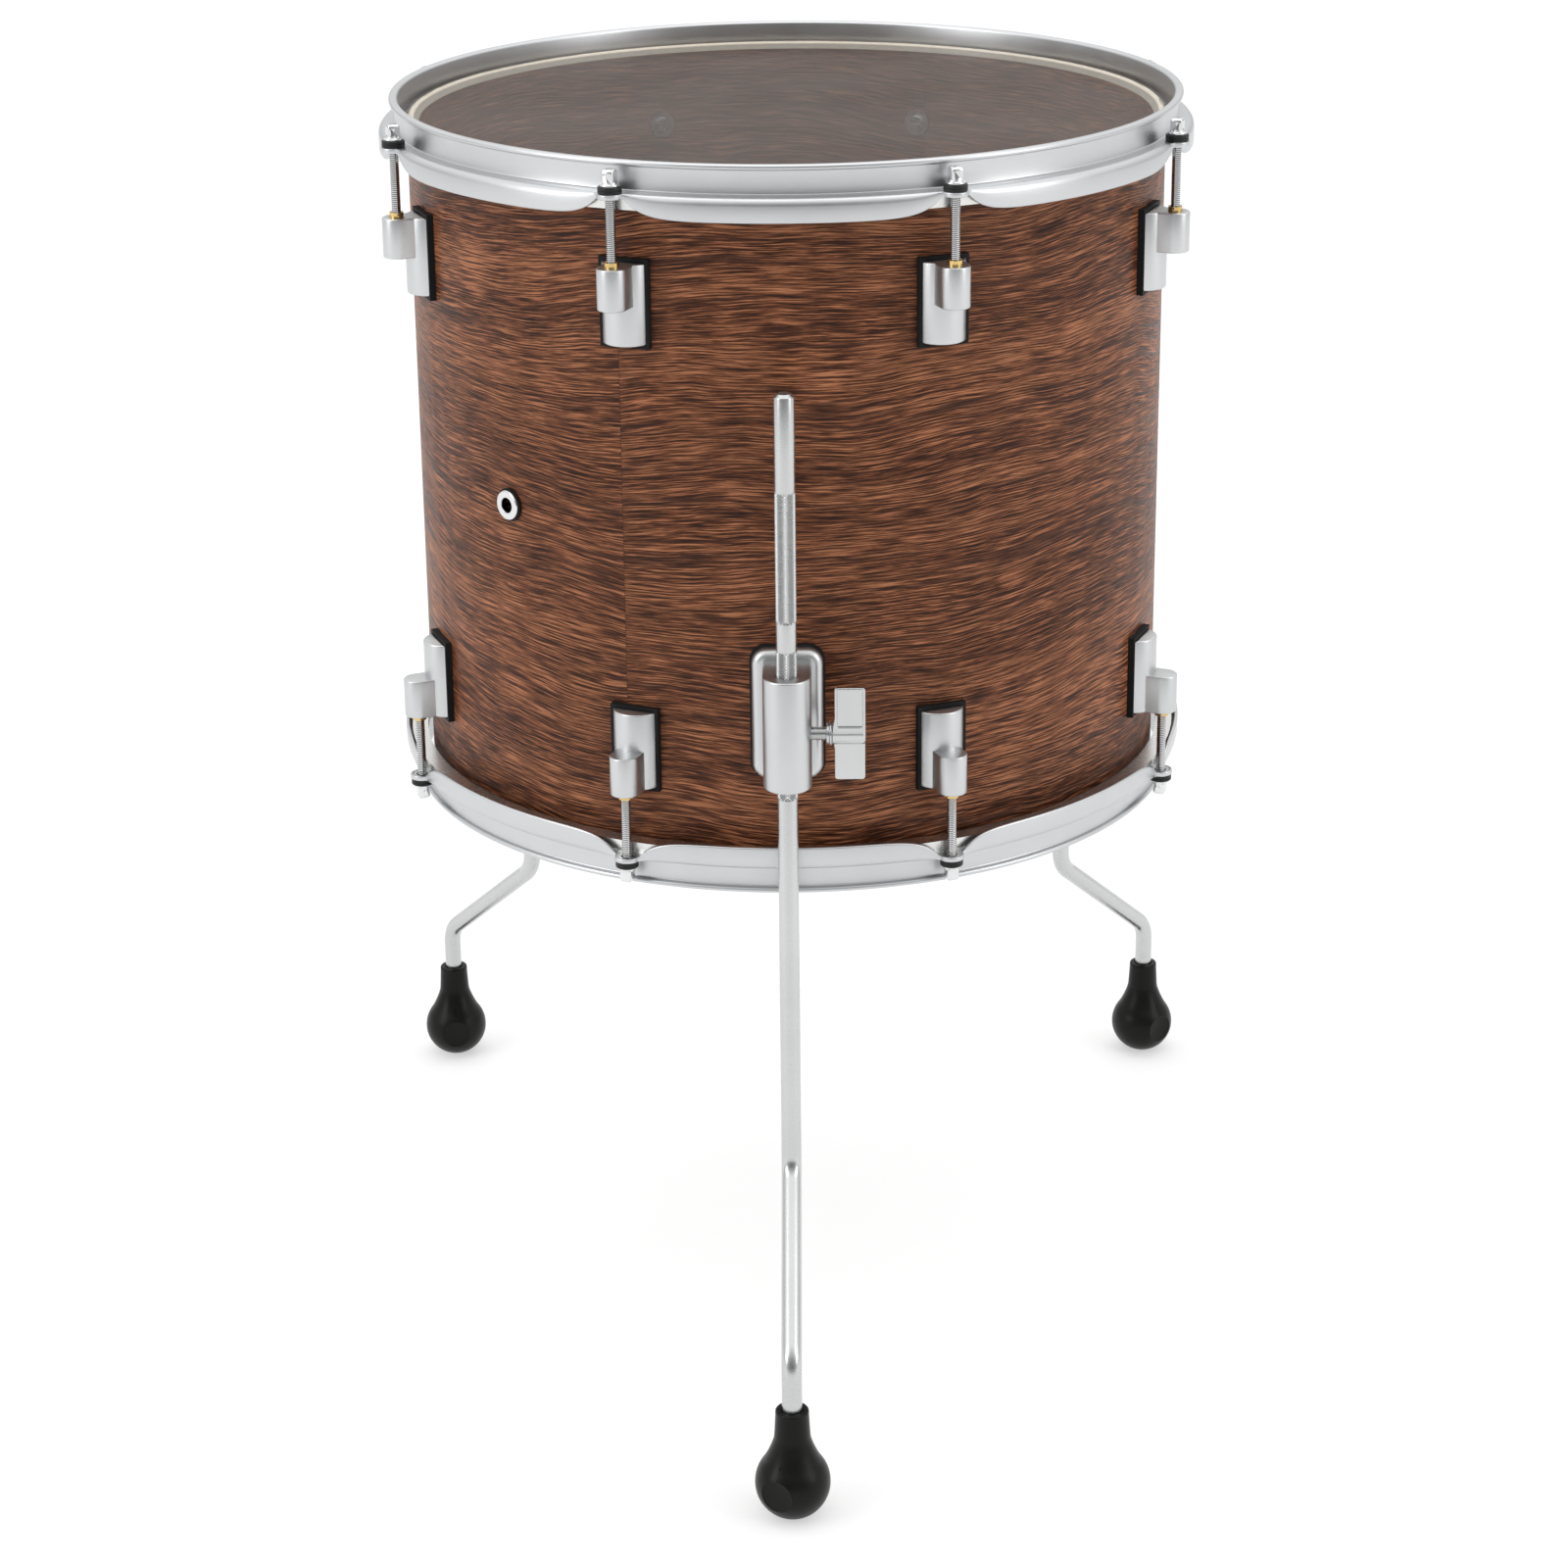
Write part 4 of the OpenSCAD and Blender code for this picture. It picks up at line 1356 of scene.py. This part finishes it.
@dataclass
class Legs:
    """Three bent steel legs with knurled bands and rubber feet."""

    axis: float = 233.5
    radius: float = 5.15
    top: float = 567.8
    chamfer: float = 1.6
    plug_radius: float = 3.05
    plug_depth: float = 12.05
    bands: tuple[Point, ...] = ((519.0, 451.2), (437.4, 358.2))
    band_row: float = 0.78
    band_rise: float = 0.06
    band_depth: float = 0.3
    around: int = 44
    upper_bend: float = 153.0
    lower_bend: float = 86.0
    reach: float = 83.2
    bend_radius: float = 18.0
    bend_steps: int = 16
    rod_end: float = 28.0
    ball_radius: float = 19.3
    ball_height: float = 18.243
    flat_radius: float = 6.3
    foot_high: float = 60.0
    neck_angle: float = 36.0
    neck_pull: float = 13.0
    waist: Point = (9.25, 45.0)
    waist_pull: Point = (-0.35, 9.0)
    collar: float = 8.6
    pad_radius: float = 8.6
    pad_floor: float = 16.9
    pad_turns: dict[Side, float] = field(
        default_factory=lambda: {Side.FRONT: -28.0, Side.RIGHT: 38.0, Side.LEFT: 6.0}
    )

    def knurl(self, bm: Shape, rows: list[Ring]) -> None:
        """Draws diamonds on a stack of rings.

        Args:
            bm: The leg's mesh.
            rows: The rings of one band, from the top, each in the same order.
        """
        low: set[bmesh.types.BMVert] = set()
        for number, row in enumerate(rows[1:-1], 1):
            for place, vert in enumerate(row):
                raised = (number + place) % 2 == 1
                scale = (self.radius + (self.band_rise if raised else -self.band_depth)) / self.radius
                vert.co.x *= scale
                vert.co.y *= scale
                if not raised:
                    low.add(vert)
        inside = {vert for row in rows for vert in row}
        for face in [f for f in bm.faces if len(f.verts) == 4 and all(v in inside for v in f.verts)]:
            sunk = [v for v in face.verts if v in low]
            if len(sunk) == 2:
                bmesh.utils.face_split(face, sunk[0], sunk[1])

    def rod(self) -> Shape:
        """One leg with its outward bend towards -Y, from the plug's bore down into the foot."""
        bm = bmesh.new()
        base = bmesh.ops.create_circle(bm, cap_ends=True, segments=self.around, radius=self.plug_radius)
        ring = base["verts"]
        bmesh.ops.translate(bm, verts=ring, vec=(0.0, 0.0, self.top - self.plug_depth))
        ring.sort(key=lambda v: math.atan2(v.co.y, v.co.x))

        def pull(last: Ring, height: float, radius: float) -> Ring:
            """Extrudes the last ring to a new height and radius, in the same order."""
            new = extruded(bm, last)
            for vert in new:
                flat = vert.co.xy.normalized() * radius
                vert.co = (flat.x, flat.y, height)
            new.sort(key=lambda v: math.atan2(v.co.y, v.co.x))
            return new

        ring = pull(ring, self.top, self.plug_radius)
        ring = pull(ring, self.top, self.radius - self.chamfer)
        ring = pull(ring, self.top - self.chamfer * 0.93, self.radius - 0.12)
        ring = pull(ring, self.top - self.chamfer * 1.15, self.radius)
        bands = []
        for high, low in self.bands:
            ring = pull(ring, high, self.radius)
            rows = [ring]
            count = 2 * round((high - low) / self.band_row / 2)
            for number in range(1, count + 1):
                ring = pull(ring, high - (high - low) * number / count, self.radius)
                rows.append(ring)
            bands.append(rows)
        angle = math.atan2(self.reach, self.upper_bend - self.lower_bend)
        tangent = self.bend_radius * math.tan(angle / 2)
        turn = self.upper_bend + tangent
        ring = pull(ring, turn, self.radius)

        def bend(last: Ring, centre: Vector, amount: float) -> Ring:
            """Turns the last ring about an axis along X and returns the new end ring."""
            spun = swept(bm, ring_edges(bm, last), amount, self.bend_steps, axis=(1.0, 0.0, 0.0), cent=centre)
            return ring_verts(spun["geom_last"])

        def slide(last: Ring, move: Vector) -> Ring:
            """Extrudes the last ring straight on."""
            new = extruded(bm, last)
            bmesh.ops.translate(bm, verts=new, vec=move)
            return new

        ring = bend(ring, Vector((0.0, -self.bend_radius, turn)), -angle)
        length = math.hypot(self.reach, self.upper_bend - self.lower_bend) - 2.0 * tangent
        ring = slide(ring, Vector((0.0, -math.sin(angle), -math.cos(angle))) * length)
        low_turn = self.lower_bend - tangent
        ring = bend(ring, Vector((0.0, self.bend_radius - self.reach, low_turn)), angle)
        ring = slide(ring, Vector((0.0, 0.0, self.rod_end - low_turn)))
        bmesh.ops.edgeloop_fill(bm, edges=ring_edges(bm, ring))
        for rows in bands:
            self.knurl(bm, rows)
        bmesh.ops.recalc_face_normals(bm, faces=bm.faces[:])
        return bm

    def foot(self) -> Shape:
        """One foot round its own axis, with a moulded disc on the front and the back."""
        ball, high = self.ball_height, self.foot_high
        start = math.degrees(math.asin(-ball / self.ball_radius))
        profile = [(0.0, 0.0), (self.flat_radius - 1.2, 0.0)]
        profile += arc((0.0, ball), self.ball_radius, start + 3.0, self.neck_angle, 22)
        neck = math.radians(self.neck_angle)
        lean = Vector((-math.sin(neck), math.cos(neck))) * self.neck_pull
        spot, waist, rise = Vector(profile[-1]), Vector(self.waist), Vector(self.waist_pull)
        for share in (step / 10 for step in range(1, 11)):
            a, b = (2 * share**3 - 3 * share**2 + 1), (share**3 - 2 * share**2 + share)
            c, d = (3 * share**2 - 2 * share**3), (share**3 - share**2)
            profile.append(tuple(spot * a + lean * b + waist * c + rise * d))
        profile += [(8.95, 50.0), (self.collar, 56.6), (self.collar - 0.05, 58.4)]
        profile += arc((self.collar - 1.2, high - 1.2), 1.15, 8.0, 88.0, 5)
        profile += [(self.radius + 0.9, high), (self.radius + 0.25, high - 0.6)]
        profile += [(self.radius + 0.02, self.rod_end), (0.0, self.rod_end)]
        bm = lathe(profile, 96, False)
        disc = rounded((
            (0.0, self.pad_floor, 0.0),
            (self.pad_radius, self.pad_floor, 0.6),
            (self.pad_radius + 0.5, self.pad_floor + 6.0, 0.0),
            (0.0, self.pad_floor + 6.0, 0.0),
        ), 3)
        for turns in (1, -1):
            bm = solid(bm, moved(lathe(disc, 64, False), shifted(ball) @ quarter("X", turns)), Join.CUT)
        groove = lathe(rounded((
            (self.ball_radius + 1.0, -0.28, 0.0), (self.ball_radius + 1.0, 0.28, 0.0),
            (self.ball_radius - 0.3, 0.0, 0.0),
        )), 96)
        return solid(bm, moved(groove, shifted(ball) @ quarter("Y")), Join.CUT)

    def build(self) -> None:
        """Makes each leg and its foot, and dresses the plug."""
        rod, foot = self.rod(), self.foot()
        for side in Side:
            name, azimuth = side.value, leg_azimuth(side)
            place = turned(azimuth, self.axis)
            make_piece(f"leg.{name}", rod, LEG_CHROME, f"{name}_leg", [f"{name}_leg"], place, 24.0)
            stand = turned(azimuth, self.axis + self.reach)
            face = Matrix.Rotation(math.radians(self.pad_turns[side] - azimuth), 4, "Z")
            make_piece(f"foot.{name}", foot, RUBBER, f"{name}_leg", [f"{name}_foot"], stand @ face)
            dress(f"{name}_leg_plug", PLUG_STEEL)
        rod.free()
        foot.free()


# ---------------------------------------------------------------- the studio


@dataclass(frozen=True)
class SoftBox:
    """A soft box that faces the drum: its place and its size in metres, and its watts."""

    name: str
    spot: tuple[float, float, float]
    size: Point
    power: float

    def hang(self, target: Vector) -> None:
        """Makes the light and turns it to the target."""
        data = bpy.data.lights.new(self.name, "AREA")
        data.shape = "RECTANGLE"
        data.size, data.size_y = self.size
        data.energy = self.power
        thing = bpy.data.objects.new(self.name, data)
        thing.location = self.spot
        thing.rotation_euler = (target - Vector(self.spot)).to_track_quat("-Z", "Y").to_euler()
        bpy.context.scene.collection.objects.link(thing)


@dataclass
class Studio:
    """The pale floor, the soft lights and the camera."""

    spot: tuple[float, float, float] = (0.01963, -1.87400, 1.01546)
    yaw: float = -0.0126
    pitch: float = 0.3325
    roll: float = 0.0104
    lens: float = 81.10
    shift: float = -0.1
    floor_radius: float = 16.0
    sky: tuple[float, ...] = (-0.2, 0.7, 0.5, 1.25)
    dim_front: tuple[float, ...] = (-0.98, -0.3, 0.25, 1.0)
    middle: tuple[float, float, float] = (0.0, 0.0, 0.45)
    boxes: tuple[SoftBox, ...] = (
        SoftBox("key box", (-2.6, -1.5, 1.7), (1.2, 2.2), 26.0),
        SoftBox("fill box", (2.7, -1.3, 1.6), (1.1, 2.2), 20.0),
        SoftBox("top box", (0.0, 0.3, 2.6), (2.2, 1.6), 9.0),
    )
    sun_power: float = 0.12
    sun_angle: float = 1.4
    sun_turn: tuple[float, float, float] = (18.0, 0.0, -20.0)

    def camera(self) -> None:
        """Makes the camera."""
        data = bpy.data.cameras.new("camera")
        data.lens = self.lens
        data.sensor_width = 36.0
        data.shift_y = self.shift
        data.clip_end = 60.0
        thing = bpy.data.objects.new("camera", data)
        bpy.context.scene.collection.objects.link(thing)
        ahead = Vector((
            math.sin(self.yaw) * math.cos(self.pitch),
            math.cos(self.yaw) * math.cos(self.pitch),
            -math.sin(self.pitch),
        ))
        level = Vector((math.cos(self.yaw), -math.sin(self.yaw), 0.0))
        down = ahead.cross(level)
        right = level * math.cos(self.roll) + down * math.sin(self.roll)
        up = level * math.sin(self.roll) - down * math.cos(self.roll)
        turn = Matrix((right, up, -ahead)).transposed().to_4x4()
        thing.matrix_world = Matrix.Translation(self.spot) @ turn
        bpy.context.scene.camera = thing

    def floor(self) -> None:
        """Makes the floor as one large round sheet."""
        bm = bmesh.new()
        bmesh.ops.create_circle(bm, cap_ends=True, segments=96, radius=self.floor_radius)
        bmesh.ops.recalc_face_normals(bm, faces=bm.faces[:])
        if next(iter(bm.faces)).normal.z < 0.0:
            bmesh.ops.reverse_faces(bm, faces=bm.faces[:])
        mesh = bpy.data.meshes.new("floor")
        bm.to_mesh(mesh)
        bm.free()
        mesh.materials.append(PAPER.material())
        thing = bpy.data.objects.new("floor", mesh)
        bpy.context.scene.collection.objects.link(thing)

    def world(self) -> None:
        """Makes the white surroundings, dimmer low down and behind the camera."""
        world = bpy.data.worlds.new("studio")
        bpy.context.scene.world = world
        world.use_nodes = True
        nodes, links = world.node_tree.nodes, world.node_tree.links
        back = nodes["Background"]
        back.inputs["Color"].default_value = (1.0, 1.0, 1.0, 1.0)
        spot = nodes.new("ShaderNodeTexCoord")
        split = nodes.new("ShaderNodeSeparateXYZ")
        sky = nodes.new("ShaderNodeMapRange")
        front = nodes.new("ShaderNodeMapRange")
        glow = nodes.new("ShaderNodeMath")
        glow.operation = "MULTIPLY"
        links.new(spot.outputs["Generated"], split.inputs[0])
        for node, axis, values in ((sky, "Z", self.sky), (front, "Y", self.dim_front)):
            node.interpolation_type = "SMOOTHSTEP"
            links.new(split.outputs[axis], node.inputs[0])
            for place, value in enumerate(values, 1):
                node.inputs[place].default_value = value
            links.new(node.outputs[0], glow.inputs[0 if node is sky else 1])
        links.new(glow.outputs[0], back.inputs["Strength"])

    def daylight(self) -> None:
        """Makes the weak, very soft sun."""
        sun = bpy.data.lights.new("daylight", "SUN")
        sun.energy = self.sun_power
        sun.angle = self.sun_angle
        thing = bpy.data.objects.new("daylight", sun)
        thing.rotation_euler = tuple(math.radians(turn) for turn in self.sun_turn)
        bpy.context.scene.collection.objects.link(thing)

    def build(self) -> None:
        """Sets up the studio."""
        bpy.context.scene.view_settings.view_transform = "Standard"
        self.world()
        for box in self.boxes:
            box.hang(Vector(self.middle))
        self.daylight()
        self.floor()
        self.camera()


def main() -> None:
    """Builds every sub-assembly."""
    logging.basicConfig(level=logging.INFO, format="%(message)s")
    for part in (Studio(), Shell(), Heads(), Hoops(), TensionRods(), Lugs(), Brackets(), Wings(), Legs()):
        log.info("building %s", type(part).__name__)
        part.build()


if __name__ == "__main__":
    main()
